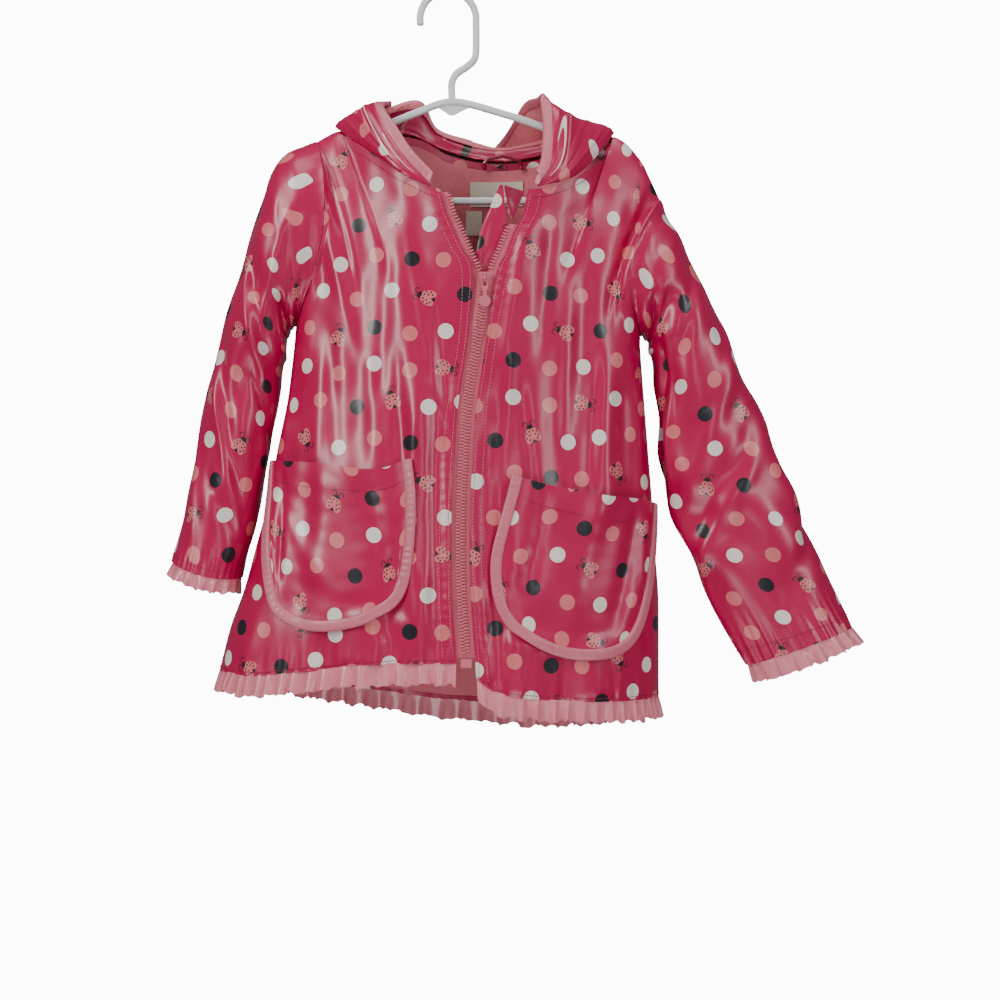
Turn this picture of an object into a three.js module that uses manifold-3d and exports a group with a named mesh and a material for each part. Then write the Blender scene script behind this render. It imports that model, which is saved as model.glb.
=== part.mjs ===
// Toddler's hooded raincoat hanging on a child's tube hanger.
// Millimetres, +Z up, the coat's front faces -Y, +X is the wearer's left. The origin is the
// inside top of the hanger's hook, where a rail would touch it.
import * as THREE from "three";
import { mergeVertices } from "three/addons/utils/BufferGeometryUtils.js";
import Module from "manifold-3d";

const wasm = await Module();
wasm.setup();

// Driving sizes
const WALL = 1.6; // coated cloth of fronts, back and sleeves, with its seam allowances
const LINING = 1.0; // jersey lining
const TRIM = 1.8; // binding
const FRILL = 0.9; // ruffle cloth
const SEAM_GAP = 0.35; // air between pieces that are sewn together
const LINING_GAP = 2.0; // air between the back and its lining
const TAPE = 0.9; // zip tape
const TEETH_ROOM = 1.5; // room kept for the teeth between tape and slider
const CHEST_Z = -291.5; // level under the armholes
const YOKE = 0.36; // share of a panel's rows that lie above CHEST_Z
const FULLNESS = 0.85; // 1 is an ellipse, less is boxier
const ZIP_HALF = 7.2; // from the zip's centre line to a front's edge
const BINDING = 7.5; // width of the bindings
const LOWER_ROWS = 5; // rows of a panel under the chest line

const PINK = 0xc80a50;
const LINING_PINK = 0xc8828c;
const TRIM_PINK = 0xd98b9a;
const FRILL_PINK = 0xe6919e;

// The body's sections: right and left side seams, and the depth in front and behind
const BODY = [
  // z, right, left, front, behind
  [-279.0, -124.5, 156.5, 58, 48],
  [-291.5, -126.0, 157.5, 59, 49],
  [-332.5, -131.0, 160.5, 63, 52],
  [-377.5, -140.0, 164.0, 67, 55],
  [-414.5, -146.5, 167.0, 70, 57],
  [-455.5, -157.5, 169.5, 73, 60],
  [-488.0, -166.5, 172.0, 75, 62],
  [-517.0, -177.0, 172.5, 76, 63],
  [-552.0, -186.0, 172.5, 77, 65],
  [-595.0, -197.0, 172.5, 77, 66],
];

// The zip's centre line under the slider
const ZIP_LINE = [
  // z, x
  [-225.0, 31.5],
  [-248.0, 30.0],
  [-297.0, 23.5],
  [-336.5, 17.5],
  [-367.5, 15.0],
  [-414.5, 12.5],
  [-453.0, 12.0],
  [-491.5, 13.0],
  [-541.0, 16.5],
  [-600.0, 19.0],
];

// Open front edges above the slider, from the neck down
const EDGE_RIGHT = [
  // x, y, z
  [-5.0, -45, -168.0],
  [-2.5, -46, -176.5],
  [-1.0, -47, -183.5],
  [4.5, -49, -197.5],
  [13.5, -52, -217.5],
  [21.5, -54, -235.0],
];
const EDGE_LEFT = [
  // x, y, z
  [65.0, -43, -168.0],
  [63.0, -44, -176.5],
  [60.5, -46, -189.0],
  [54.0, -48, -201.5],
  [47.0, -51, -220.0],
  [39.5, -54, -237.5],
];

// Neckline, from the front edges over the shoulder points to the back
const ARMHOLE_COLUMNS = 8;
const NECK_RIGHT = [
  // x, y, z
  [-5.0, -45, -168.0],
  [-15.5, -43, -165.5],
  [-28.0, -39, -158.5],
  [-41.0, -34, -151.0],
  [-54.0, -26, -140.5],
  [-66.5, -18, -130.0],
  [-79.5, -9, -120.5],
  [-91.0, 0, -112.0],
];
const NECK_LEFT = [
  // x, y, z
  [65.0, -43, -168.0],
  [82.5, -40, -165.5],
  [101.0, -33, -158.0],
  [116.0, -24, -147.0],
  [127.0, -14, -136.0],
  [136.0, 0, -116.0],
];
const NECK_BACK = [
  // x, y, z
  [-91.0, 0, -112.0],
  [-74.5, 8, -110.0],
  [-57.0, 14, -111.0],
  [-24.0, 21, -114.5],
  [-1.0, 26, -126.0],
  [26.0, 28, -132.0],
  [47.0, 28, -133.0],
  [69.5, 26, -131.0],
  [92.5, 20, -126.5],
  [113.0, 12, -121.5],
  [136.0, 0, -116.0],
];
const SHOULDER_RIGHT = [
  [-91.0, 0, -112.0],
  [-99.0, 0, -116.0],
  [-107.5, 0, -121.0],
];
const SHOULDER_LEFT = [
  [136.0, 0, -116.0],
  [146.0, 0, -122.0],
  [152.5, 0, -129.0],
  [157.5, 0, -135.5],
  [161.5, 0, -142.0],
  [167.5, 0, -155.0],
  [174.0, 0, -169.0],
];

// Armholes: top and bottom points, the bow towards the body, half the width in front and behind
const ARMHOLE = {
  right: { top: [-107.5, -121.0], low: [-124.5, -271.0], bow: 17.5, front: 34, behind: 30 },
  left: { top: [174.0, -169.0], low: [157.5, -279.0], bow: -18.0, front: 36, behind: 30 },
};

// Hems: height of the seam over the ruffle, by x
const HEM_RIGHT = [
  [-190, -552],
  [-149, -553],
  [-123, -549.5],
  [-94, -546.5],
  [-68.5, -542.5],
  [-31, -541],
  [12, -541],
];
const HEM_LEFT = [
  [20, -546],
  [29.5, -557],
  [43.5, -564.5],
  [75, -569.5],
  [107.5, -572],
  [136, -573],
  [159, -573.5],
  [176, -574.5],
];
const HEM_BACK = [
  [-190, -552],
  [-150, -561],
  [-84.5, -574.5],
  [-53, -579],
  [-4, -586],
  [17.5, -587.5],
  [77, -593],
  [130, -588],
  [176, -574.5],
];

// Sleeves: the outer and inner line in front view, station by station, with the half depth and
// the bow of the front and back of each ring
const SLEEVE_RIGHT = [
  // outer x, outer z, inner x, inner z, mid y, half depth, bow
  [-107.5, -121.0, -124.5, -271.0, 0, 34, 17.5],
  [-124.5, -126.0, -126.6, -272.5, 1, 36, 15.0],
  [-138.5, -135.5, -128.0, -274.5, 1, 37, 11.0],
  [-146.0, -149.5, -129.4, -277.0, 1, 38, 7.0],
  [-152.5, -169.0, -130.6, -280.0, 1, 38, 4.0],
  [-162.5, -198.0, -132.0, -286.0, 1, 37, 2.0],
  [-172.0, -230.0, -134.0, -296.5, 1, 36, 0.0],
  [-182.0, -267.0, -136.4, -313.0, 1, 35, 0.0],
  [-190.0, -299.0, -139.5, -333.0, 1, 34, 0.0],
  [-197.5, -331.0, -143.5, -360.0, 0, 33, 0.0],
  [-204.5, -366.0, -148.5, -389.0, -2, 32, 0.0],
  [-211.0, -402.0, -153.6, -418.0, -4, 31, 0.0],
  [-217.0, -434.0, -160.0, -449.0, -6, 30, 2.0],
  [-223.5, -464.0, -168.0, -478.0, -8, 29, 4.0],
];
const SLEEVE_LEFT = [
  // outer x, outer z, inner x, inner z, mid y, half depth, bow
  [174.0, -169.0, 157.5, -279.0, 0, 36, -18.0],
  [178.5, -178.0, 159.8, -280.5, 0, 36, -15.0],
  [185.5, -191.5, 161.4, -282.5, 0, 36, -11.0],
  [192.5, -206.0, 162.8, -285.0, 0, 36, -7.0],
  [201.0, -222.5, 164.0, -289.0, 0, 35, -4.0],
  [210.0, -242.0, 165.2, -295.0, -1, 34, -2.0],
  [219.5, -263.5, 166.6, -306.0, -2, 33, 0.0],
  [232.0, -291.5, 168.4, -325.0, -3, 32, 0.0],
  [244.0, -319.0, 170.6, -347.0, -4, 30, 0.0],
  [256.5, -347.0, 173.0, -371.0, -5, 28, 0.0],
  [269.0, -376.0, 176.0, -397.0, -6, 27, 0.0],
  [281.0, -404.5, 182.0, -427.0, -7, 26, 0.0],
  [293.5, -437.0, 196.0, -459.0, -8, 25, 0.0],
  [307.5, -474.0, 214.0, -494.0, -8, 24, 0.0],
  [329.5, -517.0, 244.0, -548.0, -8, 23, 0.0],
];

// The fallen hood: for each station along the neck seam, the way the cloth goes from the seam
// over the crest, down the back, round the bottom and up again to the face edge
const HOOD_ROWS = ["roll", "crest", "fold", "deep", "bottom", "rear", "edge"];
const HOOD_RIGHT = [
  { seam: ["front", 0.07], roll: [-13, -44.6, -166.2], crest: [-13, -45, -165.6],
    fold: [-13, -45.2, -165], deep: [-13, -45.4, -164.4], bottom: [-12.8, -45.5, -163.8],
    rear: [-12.6, -45.5, -163.2], edge: [-12.4, -45.5, -162.5] },
  { seam: ["front", 0.4], roll: [-42.5, -38, -149], crest: [-43.5, -40, -146],
    fold: [-43, -40.5, -143], deep: [-41.5, -40, -140.5], bottom: [-40, -39.5, -138],
    rear: [-38.5, -38.5, -136], edge: [-36.5, -37.5, -134] },
  { seam: ["front", 1], roll: [-87, -5, -106.5], crest: [-80, -9, -102.5],
    fold: [-74, -11.5, -99.5], deep: [-69, -14, -97.5], bottom: [-65, -15.5, -96.5],
    rear: [-61, -17, -96], edge: [-57.5, -18, -96.5] },
  { seam: ["back", 0.035], roll: [-80, 7, -104], crest: [-71, 6, -99.5], fold: [-66, 8, -98],
    deep: [-63, 11, -97], bottom: [-60.5, 13.5, -95.5], rear: [-57.5, 14.5, -92], edge: [-53.5, 14, -88.5] },
  { seam: ["back", 0.1], roll: [-67, 11, -103], crest: [-51, 6, -94], fold: [-51, 15, -96],
    deep: [-57, 34, -120], bottom: [-61, 46, -150], rear: [-58, 51, -126],
    edge: [-49, 37, -103] },
  { seam: ["back", 0.26], roll: [-33, 19, -103], crest: [-25, 20, -86.5], fold: [-28, 32, -92],
    deep: [-36, 47, -160], bottom: [-41, 62, -236], rear: [-40, 79, -180],
    edge: [-36, 69, -128] },
  { seam: ["back", 0.38], roll: [-9, 28, -116.5], crest: [-12, 31, -106], fold: [-11, 41, -112],
    deep: [-11, 53, -195], bottom: [-11, 69, -280], rear: [-10, 86, -210],
    edge: [-8, 78, -146] },
  { seam: ["back", 0.5], roll: [20, 31, -125], crest: [19, 36, -116.5], fold: [19, 45, -122],
    deep: [20, 56, -215], bottom: [20, 71, -300], rear: [20, 88, -220], edge: [20, 74, -136] },
];
const HOOD_LEFT = [
  { seam: ["front", 0.07], roll: [73, -43.6, -166], crest: [73, -44, -165.4],
    fold: [73, -44.2, -164.8], deep: [73, -44.4, -164.2], bottom: [73, -44.5, -163.6],
    rear: [73, -44.5, -163], edge: [73.2, -44.5, -162.4] },
  { seam: ["front", 0.42], roll: [101, -36.5, -154], crest: [98, -38.5, -150],
    fold: [94.5, -39.5, -147.5], deep: [91.5, -40, -145.5], bottom: [88.5, -40, -144],
    rear: [85.5, -39.5, -142.5], edge: [82.5, -39, -141.5] },
  { seam: ["front", 1], roll: [131, -5, -111.5], crest: [122, -9, -109],
    fold: [112, -12, -106.5], deep: [104, -14, -103], bottom: [97, -16, -100],
    rear: [90, -18.5, -96.5], edge: [82.5, -20.5, -93.5] },
  { seam: ["back", 0.93], roll: [122, 11, -112], crest: [117, 17, -107.5],
    fold: [114, 28, -108], deep: [111, 40, -128], bottom: [104, 55, -146],
    rear: [91, 50, -120], edge: [74, 9, -88] },
  { seam: ["back", 0.8], roll: [91, 23, -120], crest: [90, 28, -113.5], fold: [90, 38, -117],
    deep: [88, 50, -175], bottom: [84, 65, -240], rear: [77, 72, -170], edge: [63, 30, -90] },
  { seam: ["back", 0.62], roll: [48, 31, -127], crest: [48, 35, -121], fold: [48, 44, -127],
    deep: [47, 54, -205], bottom: [46, 70, -285], rear: [46, 85, -205], edge: [46, 52, -112] },
  { seam: ["back", 0.5], roll: [20, 31, -125], crest: [19, 36, -116.5], fold: [19, 45, -122],
    deep: [20, 56, -215], bottom: [20, 71, -300], rear: [20, 88, -220], edge: [20, 74, -136] },
];

// Pocket outlines on the fronts, down one side, round the bottom and up the other:
// angle round the body from the middle of the front (degrees), height
const POCKET_RIGHT = {
  outline: [[-78, -382.8], [-67.4, -432], [-56.5, -478], [-49.4, -497.5], [-39.8, -507.4],
    [-30, -508.6], [-21.4, -502.7], [-14.6, -487.1], [-13.1, -455.4], [-14.4, -416], [-16.7, -384]],
  top: [[-78, -382.8], [-62, -384], [-48, -385.5], [-38.9, -387.5], [-30, -390.5],
    [-22.5, -389.5], [-16.7, -384]],
};
const POCKET_LEFT = {
  outline: [[18.3, -397.3], [15.5, -431.5], [13.4, -465.5], [15.6, -494], [20.8, -513],
    [30.2, -526.5], [39.3, -531], [50.6, -528.5], [59, -513.5], [67, -475], [79, -416.8]],
  top: [[18.3, -397.3], [25, -402], [31.1, -405.2], [46.5, -410.5], [62, -413.5], [79, -416.8]],
};

// The largest folds: a line in front view, half width, height (under 0 is a trough)
const FOLDS_RIGHT = [
  // x0, z0, x1, z1, half width, height
  [-48, -190, -22, -360, 13, 3.0],
  [-20, -330, -14, -530, 10, 4.5],
  [-4, -300, 2, -520, 8, -3.0],
  [-70, -230, -66, -375, 15, -3.5],
  [-100, -240, -118, -540, 16, -3.0],
  [-60, -500, -66, -545, 14, 4.0],
  [-135, -420, -165, -545, 14, 4.0],
];
const FOLDS_LEFT = [
  // x0, z0, x1, z1, half width, height
  [70, -185, 48, -330, 14, 3.0],
  [46, -320, 34, -540, 10, -3.5],
  [110, -200, 96, -400, 18, -4.0],
  [132, -290, 128, -420, 14, 3.5],
  [60, -520, 56, -568, 14, 3.5],
  [118, -525, 122, -570, 16, 4.0],
];
const FOLDS_BACK = [
  // x0, z0, x1, z1, half width, height
  [-70, -190, -96, -560, 20, 4.5],
  [-30, -300, -40, -575, 16, -4.0],
  [24, -310, 22, -585, 20, 5.0],
  [80, -210, 88, -585, 18, -4.0],
  [128, -250, 140, -575, 18, 4.0],
];
const SLEEVE_FOLDS_RIGHT = [
  // station 0-1, degrees round from the outer line over the front, half widths of both, height
  [0.42, 60, 0.05, 40, -6.0],
  [0.62, 100, 0.07, 45, -5.0],
  [0.3, 150, 0.05, 30, -5.0],
  [0.8, 50, 0.06, 40, -3.5],
  [0.5, 270, 0.06, 50, -4.5],
];
const SLEEVE_FOLDS_LEFT = [
  [0.26, 120, 0.06, 40, -6.0],
  [0.45, 150, 0.1, 26, -7.0],
  [0.62, 80, 0.06, 50, -3.5],
  [0.8, 130, 0.05, 40, -4.0],
  [0.5, 260, 0.08, 50, -4.5],
];

const POCKET_LIFT = 3.0; // from the front's face to the pocket's

// The tapes' teeth above the slider
const TEETH_RIGHT = [
  // z, x
  [-169.0, 0.5],
  [-176.0, 3.5],
  [-183.5, 5.0],
  [-197.0, 11.0],
  [-217.5, 20.0],
  [-235.0, 27.5],
  [-240.0, 30.1],
];
const TEETH_LEFT = [
  // z, x
  [-195.5, 50.0],
  [-217.5, 41.0],
  [-235.0, 33.5],
  [-240.0, 30.9],
];

// Wind flap in the neck opening
const FLAP = [
  // z, left x, right x, y
  [-163.0, 42.5, 45.0, -36.0],
  [-172.0, 38.5, 45.8, -37.0],
  [-183.5, 34.0, 47.0, -39.0],
  [-197.0, 28.5, 48.0, -41.5],
  [-211.5, 25.0, 46.0, -44.0],
  [-222.0, 23.5, 43.5, -46.0],
  [-235.0, 22.5, 42.0, -48.0],
];
// Corners of the plain facing turned in at the neck: upper near, upper far, lower far, lower near
const FACING = [
  [45.8, -37.5, -163.5],
  [62.0, -39.6, -169.0],
  [53.0, -43.0, -192.0],
  [49.8, -42.0, -189.0],
];

// Hanger
const TUBE_R = 3.0;
const HOOK = { x: 0, z: -20, r: 23, tipAngle: 190 };
const HANGER_NECK = [[23, -22], [23, -44], [21.5, -53], [15, -59.5], [7, -65], [3.2, -72], [3, -80], [3.6, -90]];
const HANGER_ARMS = [
  // x, z once round from the middle of the arms
  [3.6, -88], [-27, -97.5], [-58.5, -110.5], [-91, -122.9], [-118, -135.4], [-130.5, -144.5],
  [-137, -152], [-136, -161], [-128, -167.5], [-118, -169], [5, -169.5], [135, -168.5],
  [143, -166.5], [149, -160], [150, -151.5], [145.5, -143.5], [136, -136.5], [116.5, -125], [79.5, -109.5],
  [42.5, -97],
];

// Slider and pull
const SLIDER_Z = -240.5;
const SLIDER = { width: 8.6, height: 10.5, plate: 1.3, arch: 4.2 };
const PULL = { axis: 1.75, eyeWidth: 5.4, eyeLength: 6.2, bar: 1.3, neck: 3.2, disc: 4.7, length: 22.5 };

const lerp = (a, b, t) => a + (b - a) * t;
const mix = (p, q, t) => p.map((v, k) => lerp(v, q[k], t));
const add = (p, q, k = 1) => [p[0] + q[0] * k, p[1] + q[1] * k, p[2] + q[2] * k];
const sub = (p, q) => [p[0] - q[0], p[1] - q[1], p[2] - q[2]];
const dot = (p, q) => p[0] * q[0] + p[1] * q[1] + p[2] * q[2];
const cross = (p, q) => [
  p[1] * q[2] - p[2] * q[1],
  p[2] * q[0] - p[0] * q[2],
  p[0] * q[1] - p[1] * q[0],
];
const unit = (p) => {
  const l = Math.hypot(...p) || 1;
  return [p[0] / l, p[1] / l, p[2] / l];
};
const rad = (d) => (d * Math.PI) / 180;
const clamp = (x, a, b) => Math.min(b, Math.max(a, x));
const smooth = (t) => {
  const c = clamp(t, 0, 1);
  return c * c * (3 - 2 * c);
};

// Smooth curve through a table's rows; t runs 0-1 in equal steps per row.
function through(rows, t) {
  const n = rows.length - 1;
  const x = clamp(t, 0, 1) * n;
  const i = Math.min(n - 1, Math.floor(x));
  const f = x - i;
  const at = (k) =>
    k < 0 ? mix(rows[0], rows[1], -1) : k > n ? mix(rows[n], rows[n - 1], -1) : rows[k];
  const [a, b, c, d] = [at(i - 1), at(i), at(i + 1), at(i + 2)];
  return b.map((_, k) => {
    const m0 = (c[k] - a[k]) / 2;
    const m1 = (d[k] - b[k]) / 2;
    const f2 = f * f;
    const f3 = f2 * f;
    return (
      (2 * f3 - 3 * f2 + 1) * b[k] + (f3 - 2 * f2 + f) * m0 + (3 * f2 - 2 * f3) * c[k] + (f3 - f2) * m1
    );
  });
}

// The same curve by its length: t is the share of the way along it.
function path(rows, steps = 160) {
  const pts = [];
  for (let i = 0; i <= steps; i++) pts.push(through(rows, i / steps));
  const len = [0];
  for (let i = 1; i <= steps; i++) len.push(len[i - 1] + Math.hypot(...pts[i].map((x, k) => x - pts[i - 1][k])));
  return (t) => {
    const want = clamp(t, 0, 1) * len[steps];
    let i = 1;
    while (i < steps && len[i] < want) i++;
    const f = (want - len[i - 1]) / (len[i] - len[i - 1] || 1);
    return mix(pts[i - 1], pts[i], clamp(f, 0, 1));
  };
}

// A table's columns at a value of its first column.
function byKey(rows, key) {
  const up = rows[0][0] < rows[1][0];
  const list = up ? rows : [...rows].reverse();
  if (key <= list[0][0]) return list[0];
  if (key >= list[list.length - 1][0]) return list[list.length - 1];
  let i = 0;
  while (list[i + 1][0] < key) i++;
  const a = list[i];
  const b = list[i + 1];
  const before = list[i - 1] ?? a;
  const after = list[i + 2] ?? b;
  const h = b[0] - a[0];
  const f = (key - a[0]) / h;
  return a.map((_, k) => {
    const m0 = ((b[k] - before[k]) / (b[0] - before[0])) * h;
    const m1 = ((after[k] - a[k]) / (after[0] - a[0])) * h;
    const f2 = f * f;
    const f3 = f2 * f;
    return (
      (2 * f3 - 3 * f2 + 1) * a[k] + (f3 - 2 * f2 + f) * m0 + (3 * f2 - 2 * f3) * b[k] + (f3 - f2) * m1
    );
  });
}

// Where the columns of the top edge stand at the chest line, as shares of the quarter turn from
// the front edge to the side seam: they fan out under the armhole
const FAN_RIGHT = [
  // share of top edge, share of turn
  [0, 0],
  [0.4, 0.33],
  [0.47, 0.4],
  [0.6, 0.49],
  [0.735, 0.575],
  [0.87, 0.685],
  [0.94, 0.8],
  [1, 1],
];
const FAN_LEFT = [
  [0, 0],
  [0.34, 0.34],
  [0.52, 0.54],
  [0.76, 0.705],
  [0.88, 0.765],
  [0.94, 0.845],
  [1, 1],
];
const FAN_BACK = [
  [0, 0],
  [0.03, 0.085],
  [0.0625, 0.145],
  [0.125, 0.2],
  [0.25, 0.265],
  [0.29, 0.3],
  [0.64, 0.64],
  [0.76, 0.77],
  [0.88, 0.855],
  [0.94, 0.885],
  [0.97, 0.922],
  [1, 1],
];
const fanned = (fan, s, z) => lerp(byKey(fan, s)[1], s, smooth((CHEST_Z - z) / 84));

// Body form: a boxy ellipse at each height. angle is -90 at the right side seam, +90 at the left.
function form(angle, z, behind) {
  const [, right, left, front, back] = byKey(BODY, z);
  const a = rad(angle);
  const c = Math.max(0, Math.cos(a)) ** FULLNESS;
  return [
    (right + left) / 2 + ((left - right) / 2) * Math.sin(a),
    behind ? back * c + SEAM_GAP : -front * c - SEAM_GAP,
    z,
  ];
}

function angleOfX(x, z) {
  const [, right, left] = byKey(BODY, z);
  return (Math.asin(clamp((x - (right + left) / 2) / ((left - right) / 2), -1, 1)) * 180) / Math.PI;
}

const zipX = (z) => byKey(ZIP_LINE, z)[1];

// A point of an armhole: degrees from its top, over the front, or over the back.
function armhole(side, degrees, behind) {
  const h = ARMHOLE[side];
  const c = Math.cos(rad(degrees));
  const s = Math.sin(rad(degrees));
  return [
    (h.top[0] + h.low[0]) / 2 + ((h.top[0] - h.low[0]) / 2) * c + h.bow * s * s,
    behind ? h.behind * s + SEAM_GAP : -h.front * s - SEAM_GAP,
    (h.top[1] + h.low[1]) / 2 + ((h.top[1] - h.low[1]) / 2) * c,
  ];
}

// Height of the folds at a point in front view
function foldHeight(folds, x, z) {
  let sum = 0;
  for (const [x0, z0, x1, z1, width, height] of folds) {
    const dx = x1 - x0;
    const dz = z1 - z0;
    const l2 = dx * dx + dz * dz;
    const t = ((x - x0) * dx + (z - z0) * dz) / l2;
    const off = ((x - x0) * dz - (z - z0) * dx) / Math.sqrt(l2);
    const along = smooth((t + 0.15) / 0.3) * smooth((1.15 - t) / 0.3);
    sum += height * Math.exp(-((off / width) ** 2)) * along;
  }
  return sum;
}

// One body panel: its top boundary by share, its angles, its hem and its folds.
const neckRight = path(NECK_RIGHT);
const neckLeft = path(NECK_LEFT);
const neckBack = path(NECK_BACK);
const shoulderRight = path(SHOULDER_RIGHT);
const shoulderLeft = path(SHOULDER_LEFT);
const edgeRight = path([...EDGE_RIGHT, form(angleOfX(zipX(CHEST_Z) - ZIP_HALF, CHEST_Z), CHEST_Z, false)]);
const edgeLeft = path([...EDGE_LEFT, form(angleOfX(zipX(CHEST_Z) + ZIP_HALF, CHEST_Z), CHEST_Z, false)]);

const PANELS = {
  frontRight: {
    behind: false,
    marks: [0.4, 0.47],
    counts: [6, 2, ARMHOLE_COLUMNS],
    top(s) {
      const [n, h] = this.marks;
      if (s < n) return add(neckRight(s / n), [0, -SEAM_GAP, 0]);
      if (s < h) return add(shoulderRight((s - n) / (h - n)), [0, -SEAM_GAP, 0]);
      return armhole("right", ((s - h) / (1 - h)) * 180, false);
    },
    angle: (s, z) => lerp(angleOfX(zipX(z) - ZIP_HALF, z), -90, fanned(FAN_RIGHT, s, z)),
    share: (a, z) => (a - angleOfX(zipX(z) - ZIP_HALF, z)) / (-90 - angleOfX(zipX(z) - ZIP_HALF, z)),
    edge: edgeRight,
    hem: HEM_RIGHT,
    folds: FOLDS_RIGHT,
    ridge: (s) => smooth((s - 0.33) / 0.07) * smooth((0.54 - s) / 0.07),
  },
  frontLeft: {
    behind: false,
    marks: [0.34, 0.52],
    counts: [5, 3, ARMHOLE_COLUMNS],
    top(s) {
      const [n, h] = this.marks;
      if (s < n) return add(neckLeft(s / n), [0, -SEAM_GAP, 0]);
      if (s < h) return add(shoulderLeft((s - n) / (h - n)), [0, -SEAM_GAP, 0]);
      return armhole("left", ((s - h) / (1 - h)) * 180, false);
    },
    angle: (s, z) => lerp(angleOfX(zipX(z) + ZIP_HALF, z), 90, fanned(FAN_LEFT, s, z)),
    share: (a, z) => (a - angleOfX(zipX(z) + ZIP_HALF, z)) / (90 - angleOfX(zipX(z) + ZIP_HALF, z)),
    edge: edgeLeft,
    hem: HEM_LEFT,
    folds: FOLDS_LEFT,
    ridge: (s) => smooth((s - 0.27) / 0.07) * smooth((0.6 - s) / 0.08),
  },
  back: {
    behind: true,
    marks: [0.25, 0.29, 0.64, 0.76],
    counts: [ARMHOLE_COLUMNS, 2, 8, 3, ARMHOLE_COLUMNS],
    top(s) {
      const [a, b, c, d] = this.marks;
      if (s < a) return armhole("right", 180 - (s / a) * 180, true);
      if (s < b) return add(shoulderRight(1 - (s - a) / (b - a)), [0, SEAM_GAP, 0]);
      if (s < c) return add(neckBack((s - b) / (c - b)), [0, SEAM_GAP, 0]);
      if (s < d) return add(shoulderLeft((s - c) / (d - c)), [0, SEAM_GAP, 0]);
      return armhole("left", ((s - d) / (1 - d)) * 180, true);
    },
    angle: (s, z) => lerp(-90, 90, fanned(FAN_BACK, s, z)),
    share: (a) => (a + 90) / 180,
    edge: null,
    hem: HEM_BACK,
    folds: FOLDS_BACK,
    ridge: (s) =>
      Math.max(
        smooth((s - 0.21) / 0.04) * smooth((0.34 - s) / 0.05),
        smooth((s - 0.6) / 0.04) * smooth((0.81 - s) / 0.05),
      ),
  },
};

// How far a column leaning away from an armhole's top is pulled in, so that it stays on the
// body's side of the seam
const PULL_RIGHT = 18;
const PULL_LEFT = -52;
function pullIn(panel, s) {
  const m = panel.marks;
  const one = (pull, top, low) => {
    const turn = ((s - top) / (low - top)) * 180;
    return turn >= 0 ? pull * smooth((165 - turn) / 110) : pull * smooth(1 - Math.abs(s - top) / 0.06);
  };
  if (!panel.behind) return one(panel === PANELS.frontRight ? PULL_RIGHT : PULL_LEFT, m[1], 1);
  return s < 0.5 ? one(PULL_RIGHT, m[0], 0) : one(PULL_LEFT, m[3], 1);
}

function hemZ(panel, s) {
  let z = -560;
  for (let k = 0; k < 6; k++) z = byKey(panel.hem, form(panel.angle(s, z), z, panel.behind)[0])[1];
  return z;
}

// A point on a panel's outer face: share s along its top edge, v from its top to its hem.
function panelPoint(panel, s, v) {
  const out = panel.behind ? 1 : -1;
  let p;
  if (v < YOKE) {
    const t = v / YOKE;
    const top = panel.top(s);
    const a = panel.angle(s, CHEST_Z);
    const chest = form(a, CHEST_Z, panel.behind);
    const below = form(panel.angle(s, CHEST_Z - 2), CHEST_Z - 2, panel.behind);
    const drop = top[2] - CHEST_Z;
    const m1 = sub(below, chest).map((x) => (x / 2) * drop);
    const ridge = panel.ridge(s);
    const chord = sub(chest, top);
    const m0 = add(mix(chord, [chord[0] * 0.2, out * 34, -12], ridge), [pullIn(panel, s), 0, 0]);
    const t2 = t * t;
    const t3 = t2 * t;
    p = [0, 1, 2].map(
      (k) =>
        (2 * t3 - 3 * t2 + 1) * top[k] +
        (t3 - 2 * t2 + t) * m0[k] +
        (3 * t2 - 2 * t3) * chest[k] +
        (t3 - t2) * m1[k],
    );
    if (panel.edge && s < 0.5) {
      const atEdge = panelCurve0(panel, t);
      p = add(p, sub(panel.edge(t), atEdge), (1 - s / 0.5) ** 2);
    }
  } else {
    const z = lerp(CHEST_Z, hemZ(panel, s), (v - YOKE) / (1 - YOKE));
    p = form(panel.angle(s, z), z, panel.behind);
  }
  const side = panel.edge ? smooth((1 - s) / 0.16) * smooth(s / 0.05) : smooth(s / 0.12) * smooth((1 - s) / 0.12);
  const fade = side * smooth(v / 0.12);
  return add(p, [0, out * foldHeight(panel.folds, p[0], p[2]) * fade, 0]);
}

// The uncorrected front edge of a panel in the yoke, so that its real edge can be pulled in
function panelCurve0(panel, t) {
  const top = panel.top(0);
  const chest = form(panel.angle(0, CHEST_Z), CHEST_Z, panel.behind);
  const below = form(panel.angle(0, CHEST_Z - 2), CHEST_Z - 2, panel.behind);
  const m1 = sub(below, chest).map((x) => (x / 2) * (top[2] - CHEST_Z));
  const m0 = sub(chest, top);
  const t2 = t * t;
  const t3 = t2 * t;
  return [0, 1, 2].map(
    (k) =>
      (2 * t3 - 3 * t2 + 1) * top[k] +
      (t3 - 2 * t2 + t) * m0[k] +
      (3 * t2 - 2 * t3) * chest[k] +
      (t3 - t2) * m1[k],
  );
}

function panelNormal(panel, s, v) {
  const e = 0.004;
  const du = sub(panelPoint(panel, Math.min(1, s + e), v), panelPoint(panel, Math.max(0, s - e), v));
  const dv = sub(panelPoint(panel, s, Math.min(1, v + e)), panelPoint(panel, s, Math.max(0, v - e)));
  const n = unit(cross(du, dv));
  const ref = panel.behind ? [0, 1, 0] : [0, -1, 0];
  const side = panel.angle(s, CHEST_Z) < 0 ? -1 : 1;
  return dot(n, add(ref, [side * 0.4, 0, 0.3])) < 0 ? n.map((x) => -x) : n;
}

// A point h outside a panel's outer face
const lift = (panel, s, v, h) => add(panelPoint(panel, s, v), panelNormal(panel, s, v), h);

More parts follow.
